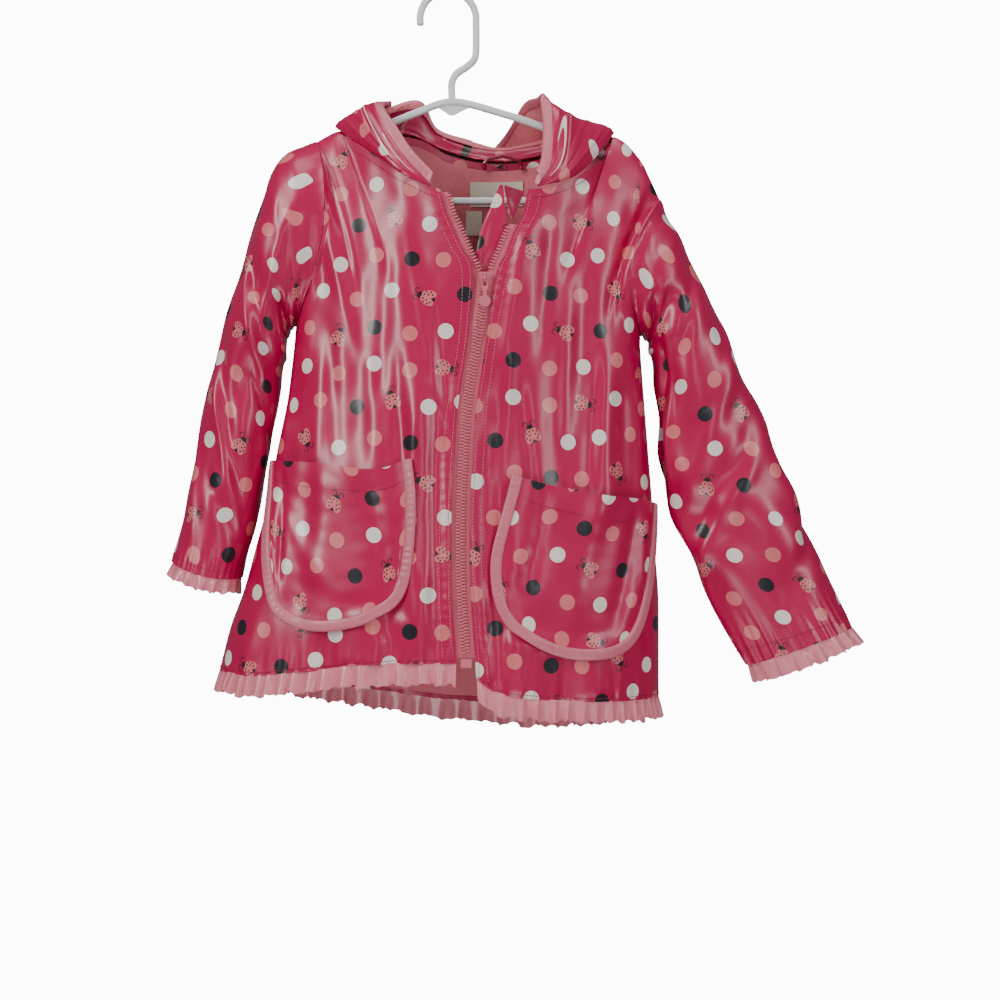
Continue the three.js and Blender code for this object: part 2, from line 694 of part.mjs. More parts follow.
// The share v at which a panel's line s reaches height z
function heightShare(panel, s, z) {
  let lo = 0;
  let hi = 1;
  for (let k = 0; k < 24; k++) {
    const mid = (lo + hi) / 2;
    if (panelPoint(panel, s, mid)[2] > z) lo = mid;
    else hi = mid;
  }
  return (lo + hi) / 2;
}

// The shares (s, v) of a point in front view
function locate(panel, x, z, lo = 0, hi = 1) {
  const rising = panelPoint(panel, hi, heightShare(panel, hi, z))[0] > panelPoint(panel, lo, heightShare(panel, lo, z))[0];
  for (let k = 0; k < 22; k++) {
    const mid = (lo + hi) / 2;
    const px = panelPoint(panel, mid, heightShare(panel, mid, z))[0];
    if (px < x === rising) lo = mid;
    else hi = mid;
  }
  const s = (lo + hi) / 2;
  return [s, heightShare(panel, s, z)];
}

// Normals of a grid of points, on the side of `out` at the grid's middle
function gridNormals(pts, { ring = false, out = [0, -1, 0], normal = null } = {}) {
  const cols = pts.length;
  const rows = pts[0].length;
  const at = (i, j) => pts[ring ? (i + cols) % cols : clamp(i, 0, cols - 1)][clamp(j, 0, rows - 1)];
  const raw = (i, j) => unit(cross(sub(at(i + 1, j), at(i - 1, j)), sub(at(i, j + 1), at(i, j - 1))));
  const middle = raw(ring ? 0 : Math.floor(cols / 2), Math.floor(rows / 2));
  const sign = dot(middle, out) < 0 ? -1 : 1;
  return pts.map((col, i) => col.map((_, j) => (normal && normal(i, j)) || raw(i, j).map((x) => x * sign)));
}

// The same grid moved in by a depth
const moveIn = (pts, depth, options) => {
  const n = gridNormals(pts, options);
  return pts.map((col, i) => col.map((p, j) => add(p, n[i][j], -depth)));
};

// Closed solid from a grid of outer points, thick inwards
function shell(pts, thick, options = {}) {
  const { ring = false } = options;
  const cols = pts.length;
  const rows = pts[0].length;
  const inner = moveIn(pts, thick, options);
  const pos = [];
  for (let i = 0; i < cols; i++) for (let j = 0; j < rows; j++) pos.push(pts[i][j], inner[i][j]);
  const id = (i, j, side) => (((i + cols) % cols) * rows + j) * 2 + side;
  const idx = [];
  const quad = (a, b, c, d) => idx.push(a, b, c, a, c, d);
  const last = ring ? cols : cols - 1;
  for (let i = 0; i < last; i++)
    for (let j = 0; j < rows - 1; j++) {
      quad(id(i, j, 0), id(i + 1, j, 0), id(i + 1, j + 1, 0), id(i, j + 1, 0));
      quad(id(i, j, 1), id(i, j + 1, 1), id(i + 1, j + 1, 1), id(i + 1, j, 1));
    }
  for (let i = 0; i < last; i++) {
    quad(id(i, 0, 0), id(i, 0, 1), id(i + 1, 0, 1), id(i + 1, 0, 0));
    quad(id(i, rows - 1, 0), id(i + 1, rows - 1, 0), id(i + 1, rows - 1, 1), id(i, rows - 1, 1));
  }
  if (!ring)
    for (let j = 0; j < rows - 1; j++) {
      quad(id(0, j, 0), id(0, j + 1, 0), id(0, j + 1, 1), id(0, j, 1));
      quad(id(cols - 1, j, 0), id(cols - 1, j, 1), id(cols - 1, j + 1, 1), id(cols - 1, j + 1, 0));
    }
  return solid(pos, idx);
}

// Geometry with outward faces from points and triangles
function solid(pos, idx) {
  let volume = 0;
  for (let k = 0; k < idx.length; k += 3)
    volume += dot(pos[idx[k]], cross(pos[idx[k + 1]], pos[idx[k + 2]]));
  const order = volume < 0 ? idx.map((_, k) => idx[k - (k % 3) + [0, 2, 1][k % 3]]) : idx;
  const g = new THREE.BufferGeometry();
  g.setAttribute("position", new THREE.Float32BufferAttribute(pos.flat(), 3));
  g.setIndex(order);
  return g;
}

const grid = (cols, rows, f) =>
  Array.from({ length: cols + 1 }, (_, i) => Array.from({ length: rows + 1 }, (_, j) => f(i / cols, j / rows)));

// Round bar along points, closed into a ring or with flat ends
function bar(pts, radius, sides = 10, ring = false) {
  const n = pts.length;
  const tangent = (i) => {
    const a = pts[ring ? (i - 1 + n) % n : Math.max(0, i - 1)];
    const b = pts[ring ? (i + 1) % n : Math.min(n - 1, i + 1)];
    return unit(sub(b, a));
  };
  const pos = [];
  const idx = [];
  for (let i = 0; i < n; i++) {
    const t = tangent(i);
    const across = unit(cross(t, Math.abs(t[1]) < 0.9 ? [0, 1, 0] : [1, 0, 0]));
    const up = cross(across, t);
    for (let k = 0; k < sides; k++) {
      const a = (k / sides) * 2 * Math.PI;
      pos.push(add(add(pts[i], across, radius * Math.cos(a)), up, radius * Math.sin(a)));
    }
  }
  const last = ring ? n : n - 1;
  for (let i = 0; i < last; i++)
    for (let k = 0; k < sides; k++) {
      const a = i * sides + k;
      const b = i * sides + ((k + 1) % sides);
      const c = ((i + 1) % n) * sides + ((k + 1) % sides);
      const d = ((i + 1) % n) * sides + k;
      idx.push(a, b, c, a, c, d);
    }
  if (!ring)
    for (const [i, flip] of [[0, true], [n - 1, false]]) {
      pos.push(pts[i]);
      const c = pos.length - 1;
      for (let k = 0; k < sides; k++) {
        const a = i * sides + k;
        const b = i * sides + ((k + 1) % sides);
        idx.push(...(flip ? [c, b, a] : [c, a, b]));
      }
    }
  return solid(pos, idx);
}

// Flat plate in the X-Z plane with a given outline, thick along Y from y0 to y1
function plate(outline, y0, y1) {
  const shape = new THREE.Shape(outline.map(([x, z]) => new THREE.Vector2(x, z)));
  const g = new THREE.ExtrudeGeometry(shape, { depth: y1 - y0, bevelEnabled: false, curveSegments: 12 });
  g.rotateX(Math.PI / 2);
  g.translate(0, y1, 0);
  return g;
}

function manifold(g) {
  const flat = new THREE.BufferGeometry().setAttribute(
    "position",
    (g.index ? g.toNonIndexed() : g).getAttribute("position"),
  );
  const m = mergeVertices(flat, 1e-3);
  return new wasm.Manifold(
    new wasm.Mesh({
      numProp: 3,
      vertProperties: m.attributes.position.array,
      triVerts: new Uint32Array(m.index.array),
    }),
  );
}

// Geometry of a joined or cut body
function fromManifold(whole) {
  const mesh = whole.getMesh();
  const g = new THREE.BufferGeometry();
  g.setAttribute("position", new THREE.Float32BufferAttribute(Array.from(mesh.vertProperties), 3));
  g.setIndex(Array.from(mesh.triVerts));
  return g;
}

const union = (parts) => fromManifold(parts.map(manifold).reduce((a, b) => a.add(b)));

// Faces of a triangle list by edge
function edgeFaces(tris) {
  const edges = new Map();
  tris.forEach((t, f) => {
    for (let k = 0; k < 3; k++) {
      const [i, j] = [t[k], t[(k + 1) % 3]];
      const key = i < j ? `${i} ${j}` : `${j} ${i}`;
      edges.set(key, [...(edges.get(key) ?? []), f]);
    }
  });
  return edges;
}

// Close up the shortest edges that a cut leaves, then turn the edge of each needle-thin triangle
function withoutSlivers(geometry, shortest = 0.3, thinnest = 0.1) {
  const xyz = geometry.attributes.position.array;
  const points = Array.from({ length: xyz.length / 3 }, (_, k) => [xyz[3 * k], xyz[3 * k + 1], xyz[3 * k + 2]]);
  let tris = Array.from({ length: geometry.index.count / 3 }, (_, k) =>
    [0, 1, 2].map((q) => geometry.index.array[3 * k + q]));
  const length = (i, j) => Math.hypot(...sub(points[i], points[j]));
  const around = (i) => new Set(tris.filter((t) => t.includes(i)).flat().filter((k) => k !== i));
  for (let pass = 0; pass < 60; pass++) {
    let changed = false;
    for (const key of edgeFaces(tris).keys()) {
      const [i, j] = key.split(" ").map(Number);
      if (length(i, j) > shortest) continue;
      const [a, b] = [around(i), around(j)];
      if (!a.has(j) || [...a].filter((k) => b.has(k)).length !== 2) continue;
      tris = tris.map((t) => t.map((k) => (k === j ? i : k))).filter((t) => new Set(t).size === 3);
      changed = true;
    }
    const edges = edgeFaces(tris);
    const turned = new Set();
    tris.forEach((t, f) => {
      if (turned.has(f)) return;
      const sides = [0, 1, 2].map((k) => length(t[k], t[(k + 1) % 3]));
      const k = sides.indexOf(Math.max(...sides));
      const [i, j, c] = [t[k], t[(k + 1) % 3], t[(k + 2) % 3]];
      const area = Math.hypot(...cross(sub(points[j], points[i]), sub(points[c], points[i])));
      if (area / sides[k] > thinnest) return;
      const other = edges.get(i < j ? `${i} ${j}` : `${j} ${i}`).find((g) => g !== f);
      if (other === undefined || turned.has(other)) return;
      const d = tris[other].find((q) => q !== i && q !== j);
      const across = c < d ? `${c} ${d}` : `${d} ${c}`;
      if (edges.has(across)) return;
      edges.set(across, [f, other]);
      tris[f] = [i, d, c];
      tris[other] = [d, j, c];
      [f, other].forEach((g) => turned.add(g));
      changed = true;
    });
    if (!changed) break;
  }
  const g = new THREE.BufferGeometry();
  g.setAttribute("position", new THREE.Float32BufferAttribute(points.flat(), 3));
  g.setIndex(tris.flat());
  return g;
}

// Of two corners at one place the later one steps back into the cloth
function cornersApart(geometry, step = 0.05) {
  const xyz = geometry.attributes.position;
  const points = Array.from({ length: xyz.count }, (_, k) => [xyz.getX(k), xyz.getY(k), xyz.getZ(k)]);
  const tris = Array.from({ length: geometry.index.count / 3 }, (_, k) =>
    [0, 1, 2].map((q) => geometry.index.array[3 * k + q]));
  const taken = new Set();
  points.forEach((p, i) => {
    const own = tris.filter((t) => t.includes(i));
    if (!own.length) return;
    const key = p.map((x) => x.toFixed(2)).join(" ");
    if (taken.has(key)) {
      const out = own.map((t) => cross(sub(points[t[1]], points[t[0]]), sub(points[t[2]], points[t[0]])));
      xyz.setXYZ(i, ...add(p, unit(out.reduce((a, b) => add(a, b))), -step));
    }
    taken.add(key);
  });
  return geometry;
}

// Cut one piece clear of others at a seam and keep its main body
function cutClear(geometry, others, tolerance = 0.12) {
  const left = others.map(manifold).reduce((a, b) => a.subtract(b), manifold(geometry));
  const bodies = left.simplify(tolerance).decompose();
  const main = bodies.sort((a, b) => b.volume() - a.volume())[0];
  return cornersApart(fromManifold(manifold(withoutSlivers(fromManifold(main)))));
}

// Shares down a panel: close together at the top, where it rounds over the shoulder
const YOKE_ROWS = [0, 0.02, 0.06, 0.13, 0.22, 0.31].map((v) => (v / 0.36) * YOKE);
const panelRows = (below) => [...YOKE_ROWS, ...Array.from({ length: below + 1 }, (_, j) => lerp(YOKE, 1, j / below))];

// Mitre at the shoulder and armhole: both pieces of the seam lean the same way
function mitre(panel, s) {
  const m = panel.marks;
  const up = [0, 0, 1];
  const y = panel.behind ? 1 : -1;
  const turn = (d) => [0, y * Math.sin(rad(d)), Math.cos(rad(d))];
  if (!panel.behind) {
    if (s < m[0] - 1e-6) return null;
    return s < m[1] ? up : turn(((s - m[1]) / (1 - m[1])) * 180);
  }
  if (s <= m[0]) return turn(180 - (s / m[0]) * 180);
  if (s <= m[1] + 1e-6) return up;
  if (s < m[2] - 1e-6) return null;
  return s < m[3] ? up : turn(((s - m[3]) / (1 - m[3])) * 180);
}

// Columns of a panel: a count for each stretch of its top edge, so that the columns of two pieces
// meet at their seam
function panelColumns(panel) {
  const stops = [0, ...panel.marks, 1];
  const out = [0];
  panel.counts.forEach((n, k) => {
    for (let i = 1; i <= n; i++) out.push(lerp(stops[k], stops[k + 1], i / n));
  });
  return out;
}

function panelGrid(panel) {
  const cols = panelColumns(panel);
  const rows = panelRows(LOWER_ROWS);
  return {
    pts: cols.map((s) => rows.map((v) => panelPoint(panel, s, v))),
    options: {
      out: panel.behind ? [0, 1, 0] : [0, -1, 0],
      normal: (i, j) => {
        if (j === 0) return mitre(panel, cols[i]);
        if (i === cols.length - 1) return [panel === PANELS.frontRight ? -1 : 1, 0, 0];
        return i === 0 && panel.behind ? [-1, 0, 0] : null;
      },
    },
  };
}

function panelSolid(panel) {
  const { pts, options } = panelGrid(panel);
  return shell(pts, WALL, options);
}

// The back's lining hangs inside it on the same columns and rows, from the neck seam to a
// little above the hem, and stops short of the sleeves
function backLining() {
  const { pts, options } = panelGrid(PANELS.back);
  const [, b, c] = PANELS.back.counts.map((_, k, all) => all.slice(0, k + 1).reduce((x, y) => x + y, 0));
  const inside = moveIn(pts, WALL + LINING_GAP, options)
    .slice(1, -1)
    .map((col, k) => {
      const i = k + 1;
      const neck = i > b && i < c;
      const rows = col.slice(1);
      rows[0] = neck ? mix(col[0], col[1], 0.8) : mix(col[2], col[3], 0.6);
      rows[1] = neck ? rows[1] : mix(col[2], col[3], 0.9);
      rows[rows.length - 1] = mix(rows[rows.length - 2], rows[rows.length - 1], 0.93);
      return rows;
    });
  return shell(inside, LINING, { out: [0, 1, 0] });
}

// Sleeve ring: t along the sleeve, angle from the outer line over the front
function sleevePoint(table, folds, side, t, degrees) {
  const [ox, oz, ix, iz, y, depth, bow] = through(table, t);
  const c = Math.cos(rad(degrees));
  const s = Math.sin(rad(degrees));
  const cx = (ox + ix) / 2;
  const cz = (oz + iz) / 2;
  const hx = (ox - ix) / 2;
  const hz = (oz - iz) / 2;
  const back = degrees > 180 ? 0.9 : 1;
  let radius = 1;
  for (const [ft, fa, wt, wa, h] of folds) {
    const da = ((degrees - fa + 540) % 360) - 180;
    radius += (h / depth) * Math.exp(-(((t - ft + da * 0.0007) / wt) ** 2) - (da / wa) ** 2) * smooth(t / 0.12) * smooth((1 - t) / 0.08);
  }
  const l = Math.hypot(hx, hz);
  const px = side === "right" ? -hz / l : hz / l;
  const pz = side === "right" ? hx / l : -hx / l;
  const b = Math.abs(bow) * s * s * (side === "right" ? 1 : 1);
  const sign = side === "right" ? -1 : 1;
  return [
    cx + hx * c * radius - sign * b * Math.abs(px),
    y * smooth(t / 0.1) - depth * back * s * radius,
    cz + hz * c * radius - b * Math.abs(pz) * smooth((t - 0.85) / 0.15),
  ];
}

function sleeveSolid(table, folds, side, around, along) {
  const gap = side === "right" ? -0.6 : 0.6;
  const pts = [];
  for (let i = 0; i < around; i++) {
    const d = (i / around) * 360;
    pts.push(
      Array.from({ length: along + 1 }, (_, j) => {
        if (j === 0) {
          const a = armhole(side, d <= 180 ? d : 360 - d, d > 180);
          return [a[0] + gap, a[1], a[2]];
        }
        return sleevePoint(table, folds, side, j / along, d);
      }),
    );
  }
  return shell(pts, WALL, {
    ring: true,
    out: [0, 0, 1],
    normal: (i, j) => {
      if (j > 0) return null;
      const d = rad((i / around) * 360);
      return [0, -Math.sin(d), Math.cos(d)];
    },
  });
}

// Gathered ruffle: a strip from a seam line, waving more the farther it is from it
function ruffle(base, out, down, { height, waves, swing, per = 3, ring = false, seed = 0 }) {
  const cols = waves * per;
  const rows = [0, 0.4, 1];
  const pts = [];
  for (let i = 0; i < (ring ? cols : cols + 1); i++) {
    const u = i / cols;
    const uneven = 0.75 + 0.25 * Math.sin(u * 17 + seed) + 0.12 * Math.sin(u * 41 + seed * 2);
    const ends = ring ? 1 : smooth(u / 0.03) * smooth((1 - u) / 0.03);
    const wave = Math.sin(2 * Math.PI * (u * waves + 0.25 + (ring ? 0 : 0.18 * Math.sin(u * 9 + seed)))) * uneven * ends;
    const n = out(u);
    const d = down(u);
    pts.push(
      rows.map((r) => {
        const k = r === 0 ? 0.12 : r === 0.4 ? 0.5 : 1;
        const drop = SEAM_GAP + r * height * (1 - 0.05 * Math.abs(wave));
        return add(add(base(u), d, drop), n, swing * (wave * k + 0.45 * r) - 0.35);
      }),
    );
  }
  return shell(pts, FRILL, { ring, out: out(ring ? 0 : 0.5) });
}

function hemRuffle(panel, options) {
  return ruffle(
    (u) => add(panelPoint(panel, lerp(0.002, 0.998, u), 1), [0, 0, -0.25]),
    (u) => panelNormal(panel, lerp(0.002, 0.998, u), 0.995),
    (u) => unit(add(unit(sub(panelPoint(panel, u, 1), panelPoint(panel, u, 0.97))), [0, 0, -1])),
    options,
  );
}

function cuffRuffle(table, folds, side, options) {
  const f = (t, u) => sleevePoint(table, folds, side, t, u * 360);
  const centre = (t) => {
    const r = through(table, t);
    return [(r[0] + r[2]) / 2, r[4], (r[1] + r[3]) / 2];
  };
  const axis = unit(sub(centre(1), centre(0.93)));
  return ruffle(
    (u) => f(1, u),
    (u) => {
      const v = sub(f(1, u), centre(1));
      return unit(add(v, axis, -dot(v, axis)));
    },
    () => axis,
    { ...options, ring: true },
  );
}

// Hood surface: u along the neck seam from the front edge to the middle of the back, v from the
// seam to the face edge
function hoodPoint(stations, side, u, v) {
  const rows = [
    stations.map((st) => {
      const [where, t] = st.seam;
      const p = where === "back" ? neckBack(t) : (side === "right" ? neckRight : neckLeft)(t);
      return add(p, [0, 0, 2.0]);
    }),
    ...HOOD_ROWS.map((name) => stations.map((st) => st[name])),
  ];
  return through(rows.map((row) => through(row, u)), v);
}

// Columns and rows that hood, lining and binding share, closest where the cloth turns
const HOOD_U = Array.from({ length: 13 }, (_, i) => (i / 12) * 0.993);
const HOOD_V = [0, 0.08, 0.143, 0.22, 0.286, 0.35, 0.429, 0.52, 0.62, 0.67, 0.714, 0.76, 0.82, 1];

function hoodNormal(stations, side, u, v) {
  const e = 0.004;
  const du = sub(hoodPoint(stations, side, Math.min(1, u + e), v), hoodPoint(stations, side, Math.max(0, u - e), v));
  const dv = sub(hoodPoint(stations, side, u, Math.min(1, v + e)), hoodPoint(stations, side, u, Math.max(0, v - e)));
  const n = unit(cross(du, dv));
  return side === "right" ? n : n.map((x) => -x);
}

// A piece's own grid as a body grown by the gap that two pieces keep at a seam
const grown = (pts, thick, options, gap = 0.33) => shell(moveIn(pts, -gap, options), thick + 2 * gap, options);

function hoodSolid(stations, side, from, thick, trim) {
  const vs = from ? [...HOOD_V.slice(4, -1), 0.98] : HOOD_V;
  const us = from ? HOOD_U.slice(2) : HOOD_U;
  const inwards = us.map((u) => vs.map((v) => hoodNormal(stations, side, u, v)));
  // inside the bag's tip the lining turns sooner than the outer cloth
  const pts = us.map((u, i) => {
    const middle = mix(hoodPoint(stations, side, u, 0.571), hoodPoint(stations, side, u, 0.857), 0.5);
    return vs.map((v, j) => {
      const p = add(hoodPoint(stations, side, u, v), inwards[i][j], from);
      return from ? mix(p, middle, 0.16 * Math.exp(-(((v - 0.714) / 0.09) ** 2))) : p;
    });
  });
  const options = { normal: (i, j) => inwards[i][j].map((x) => -x) };
  if (!from) return shell(pts, thick, options);
  const cloth = HOOD_U.map((u) => HOOD_V.map((v) => hoodPoint(stations, side, u, v)));
  const binding = [hoodBinding(1)];
  const facing = { normal: (i, j) => hoodNormal(stations, side, HOOD_U[i], HOOD_V[j]).map((x) => -x) };
  return cutClear(shell(pts, thick, options), [grown(cloth, 1.2, facing), ...binding], 0.2);
}

// Binding along the whole face edge, standing on past the hood's cloth
function hoodBinding(from = 0) {
  const half = (stations, side) =>
    HOOD_U.map((u) => {
      const edge = hoodPoint(stations, side, u, 1);
      const away = unit(sub(edge, hoodPoint(stations, side, u, 0.96)));
      const n = hoodNormal(stations, side, u, 0.985);
      return [0, 0.5, 1].map((k) => add(add(edge, away, SEAM_GAP + k * BINDING), n, -0.2));
    });
  const pts = [...half(HOOD_RIGHT, "right"), ...half(HOOD_LEFT, "left").reverse()];
  const ins = [
    ...HOOD_U.map((u) => hoodNormal(HOOD_RIGHT, "right", u, 0.985)),
    ...HOOD_U.map((u) => hoodNormal(HOOD_LEFT, "left", u, 0.985)).reverse(),
  ];
  const body = from === 0 ? shell : grown;
  return body(pts, 2.8, { normal: (i) => ins[i].map((x) => -x) });
}

// Pocket on a front: a patch from its outline
function pocketPoint(panel, a, z, h) {
  const s = panel.share(a, z);
  const v = YOKE + ((1 - YOKE) * (CHEST_Z - z)) / (CHEST_Z - hemZ(panel, s));
  return lift(panel, s, v, h);
}

function pocketSolid(panel, pocket, h, thick) {
  const side = path(pocket.outline);
  const top = path(pocket.top);
  const q0 = 0.34;
  const q1 = 0.66;
  const pts = grid(8, 7, (a, b) => {
    const left = side(q0 * b);
    const right = side(lerp(1, q1, b));
    const upper = top(a);
    const lower = side(lerp(q0, q1, a));
    const c = mix(side(0), side(1), a);
    const d = mix(side(q0), side(q1), a);
    const p = [0, 1].map(
      (k) => lerp(left[k], right[k], a) + lerp(upper[k], lower[k], b) - lerp(c[k], d[k], b),
    );
    return pocketPoint(panel, p[0], p[1], h);
  });
  return shell(pts, thick, { out: [0, -1, 0] });
}

// Binding round a pocket, measured off its outline over the curved front
function pocketBinding(panel, pocket) {
  const side = path(pocket.outline);
  const [ca, cz] = mix(mix(side(0), side(1), 0.5), side(0.5), 0.5);
  const pts = grid(26, 2, (q, w) => {
    const [a, z] = side(q);
    const mm = Math.hypot(...sub(form(a + 0.5, z, false), form(a - 0.5, z, false)));
    const [a1, z1] = side(Math.min(1, q + 0.01));
    const [a0, z0] = side(Math.max(0, q - 0.01));
    const ta = (a1 - a0) * mm;
    const tz = z1 - z0;
    const l = Math.hypot(ta, tz);
    let na = tz / l;
    let nz = -ta / l;
    if (na * (a - ca) * mm + nz * (z - cz) < 0) [na, nz] = [-na, -nz];
    const far = 2 * SEAM_GAP + w * BINDING;
    return pocketPoint(panel, clamp(a + (na * far) / mm, -88.5, 88.5), z + nz * far, POCKET_LIFT + 0.3);
  });
  return shell(pts, TRIM, { out: [0, -1, 0] });
}

// Zip: where the teeth of each tape run, by height
const teethX = (side, z) => {
  const table = side === "right" ? TEETH_RIGHT : TEETH_LEFT;
  const shut = table[table.length - 1][0];
  return z > shut ? byKey(table, z)[1] : zipX(z) + (side === "right" ? -0.4 : 0.4);
};

function underEdge(panel, s, z, depth) {
  const v = heightShare(panel, s, z);
  return lift(panel, s, v, -depth);
}

const TAPE_DEPTH = WALL + SEAM_GAP + 0.9;

// Point of a tape: a is 0 at the teeth, 0.5 at the front's edge, 1 under the front
function tapePoint(side, a, z) {
  const panel = side === "right" ? PANELS.frontRight : PANELS.frontLeft;
  const edge = underEdge(panel, 0, z, TAPE_DEPTH);
  if (a > 0.5) return underEdge(panel, (a - 0.5) * 0.045, z, TAPE_DEPTH);
  const x = teethX(side, z);
  const shut = smooth((-236 - z) / 40);
  const y = lerp(edge[1], Math.min(edge[1], form(angleOfX(x, z), Math.min(z, CHEST_Z), false)[1] + TAPE_DEPTH), shut);
  return mix([x, y, z], edge, a * 2);
}

function zipTape(side, top) {
  return shell(grid(2, 18, (a, b) => tapePoint(side, a, lerp(top, -536.6, b ** 1.1))), TAPE, { out: [0, -1, 0] });
}

// Height of the tapes' face where the slider sits, foremost or rearmost
function sliderFace(pick) {
  const y = [];
  for (const side of ["right", "left"])
    for (const a of [0, 0.25, 0.5]) for (const dz of [-7, -3, 0, 3, 7]) y.push(tapePoint(side, a, SLIDER_Z + dz)[1]);
  return pick(...y);
}

function zipSlider() {
  const x = zipX(SLIDER_Z);
  const front = sliderFace(Math.min) - TEETH_ROOM;
  const rear = sliderFace(Math.max) + TAPE + 0.4;
  const { width, height, plate: t } = SLIDER;
  const w = width / 2;
  const h = height / 2;
  const body = [[-w, h], [-w, 0], [-w * 0.74, -h], [w * 0.74, -h], [w, 0], [w, h]].map(([a, b]) => [x + a, SLIDER_Z + b]);
  const post = [[-0.75, 2.6], [-0.75, h - 0.3], [0.75, h - 0.3], [0.75, 2.6]].map(([a, b]) => [x + a, SLIDER_Z + b]);
  const face = front - t;
  const arch = [[0.3, 3.6], [-2.0, 3.5], [-3.3, 2.4], [-3.6, 0], [-3.3, -2.4], [-2.0, -3.5], [0.3, -3.6]];
  return union([
    plate(body, face, front),
    plate(body, rear, rear + 0.9),
    plate(post, front - 0.4, rear + 0.4),
    bar(arch.map(([y, z]) => [x, face + y, SLIDER_Z + z]), 0.7, 8),
  ]);
}

// Pull tab, hanging from its cross bar under the slider's arch
function zipPull() {
  const x = zipX(SLIDER_Z);
  const y = sliderFace(Math.min) - TEETH_ROOM - SLIDER.plate - PULL.axis;
  const w = PULL.eyeWidth / 2;
  const z0 = SLIDER_Z;
  const z1 = z0 - PULL.eyeLength;
  const neck = PULL.neck / 2;
  const disc = [];
  for (let k = 0; k <= 16; k++) {
    const a = rad(lerp(112, 428, k / 16));
    disc.push([x + PULL.disc * Math.cos(a), z0 - PULL.length + PULL.disc + PULL.disc * Math.sin(a)]);
  }
  return union([
    bar([[x - w, y, z0], [x + w, y, z0]], PULL.bar / 2, 8),
    plate([[x - w, z0 + 0.4], [x - w, z1], [x - w + PULL.bar, z1], [x - w + PULL.bar, z0 + 0.4]], y - 0.6, y + 0.6),
    plate([[x + w - PULL.bar, z0 + 0.4], [x + w - PULL.bar, z1], [x + w, z1], [x + w, z0 + 0.4]], y - 0.6, y + 0.6),
    plate([[x - w, z1 + 0.3], [x - w, z1 - 1.2], [x - neck, z1 - 3.4], [x + neck, z1 - 3.4], [x + w, z1 - 1.2], [x + w, z1 + 0.3]], y - 0.6, y + 0.6),
    plate([[x - neck, z1 - 3], [x - neck, z0 - PULL.length + PULL.disc], [x + neck, z0 - PULL.length + PULL.disc], [x + neck, z1 - 3]], y - 0.6, y + 0.6),
    plate(disc, y - 0.6, y + 0.6),
  ]);
}

// Wind flap behind the zip: free at the top, then down behind the tapes
function windFlap() {
  const pts = grid(2, 16, (a, b) => {
    const z = lerp(FLAP[0][0], -528, b ** 1.25);
    const [, left, right, y] = byKey(FLAP, z);
    const low = smooth((-214 - z) / 22);
    const x = lerp(lerp(left, right, a), zipX(z) + lerp(-8, 10, a), low);
    const tape = Math.max(tapePoint("right", 0.5, z)[1], tapePoint("left", 0.5, Math.min(z, -196))[1]);
    return [x, lerp(y, tape + TAPE + 3.3, low), z];
  });
  return shell(pts, 1.0, { out: [0, -1, 0] });
}

function neckFacing() {
  const [tl, tr, br, bl] = FACING;
  return shell(grid(3, 3, (a, b) => mix(mix(tl, tr, a), mix(bl, br, a), b)), 0.9, { out: [0, -1, 0] });
}

// A label sewn on the back lining, its face to the front
function label([x0, x1], [z0, z1]) {
  const deep = -(WALL + LINING_GAP + LINING + 1.4);
  const pts = grid(4, 3, (a, b) => {
    const [s, v] = locate(PANELS.back, lerp(x0, x1, a), lerp(z0, z1, b), 0.35, 0.6);
    return lift(PANELS.back, s, v, deep);
  });
  return shell(pts, 0.5, { out: [0, -1, 0] });
}

const nodes = [];
function piece(name, geometry, colour, roughness = 0.5, metalness = 0) {
  const g = geometry.index ? geometry.toNonIndexed() : geometry;
  g.computeVertexNormals();
  const mesh = new THREE.Mesh(g, new THREE.MeshStandardMaterial({ color: colour, roughness, metalness }));
  mesh.name = name;
  nodes.push(mesh);
}

// Body
piece("front_right", panelSolid(PANELS.frontRight), PINK, 0.25);
piece("front_left", panelSolid(PANELS.frontLeft), PINK, 0.25);
piece("back", panelSolid(PANELS.back), PINK, 0.25);
piece("back_lining", backLining(), LINING_PINK, 0.9);

// Sleeves
piece("sleeve_right", sleeveSolid(SLEEVE_RIGHT, SLEEVE_FOLDS_RIGHT, "right", 2 * ARMHOLE_COLUMNS, 13), PINK, 0.25);
piece("sleeve_left", sleeveSolid(SLEEVE_LEFT, SLEEVE_FOLDS_LEFT, "left", 2 * ARMHOLE_COLUMNS, 13), PINK, 0.25);

// Hood
for (const [side, stations] of [["right", HOOD_RIGHT], ["left", HOOD_LEFT]]) {
  piece(`hood_${side}`, cutClear(hoodSolid(stations, side, 0, 1.2, 0), [hoodBinding(1)]), PINK, 0.25);
  piece(`hood_lining_${side}`, hoodSolid(stations, side, 1.2 + 2 * SEAM_GAP, LINING, 0.02), LINING_PINK, 0.9);
}
piece("hood_binding", hoodBinding(), TRIM_PINK, 0.4);

// Pockets
for (const [side, panel, pocket] of [
  ["right", PANELS.frontRight, POCKET_RIGHT],
  ["left", PANELS.frontLeft, POCKET_LEFT],
]) {
  piece(`pocket_${side}`, pocketSolid(panel, pocket, POCKET_LIFT, 1.2), PINK, 0.25);
  piece(`pocket_binding_${side}`, pocketBinding(panel, pocket), TRIM_PINK, 0.4);
}

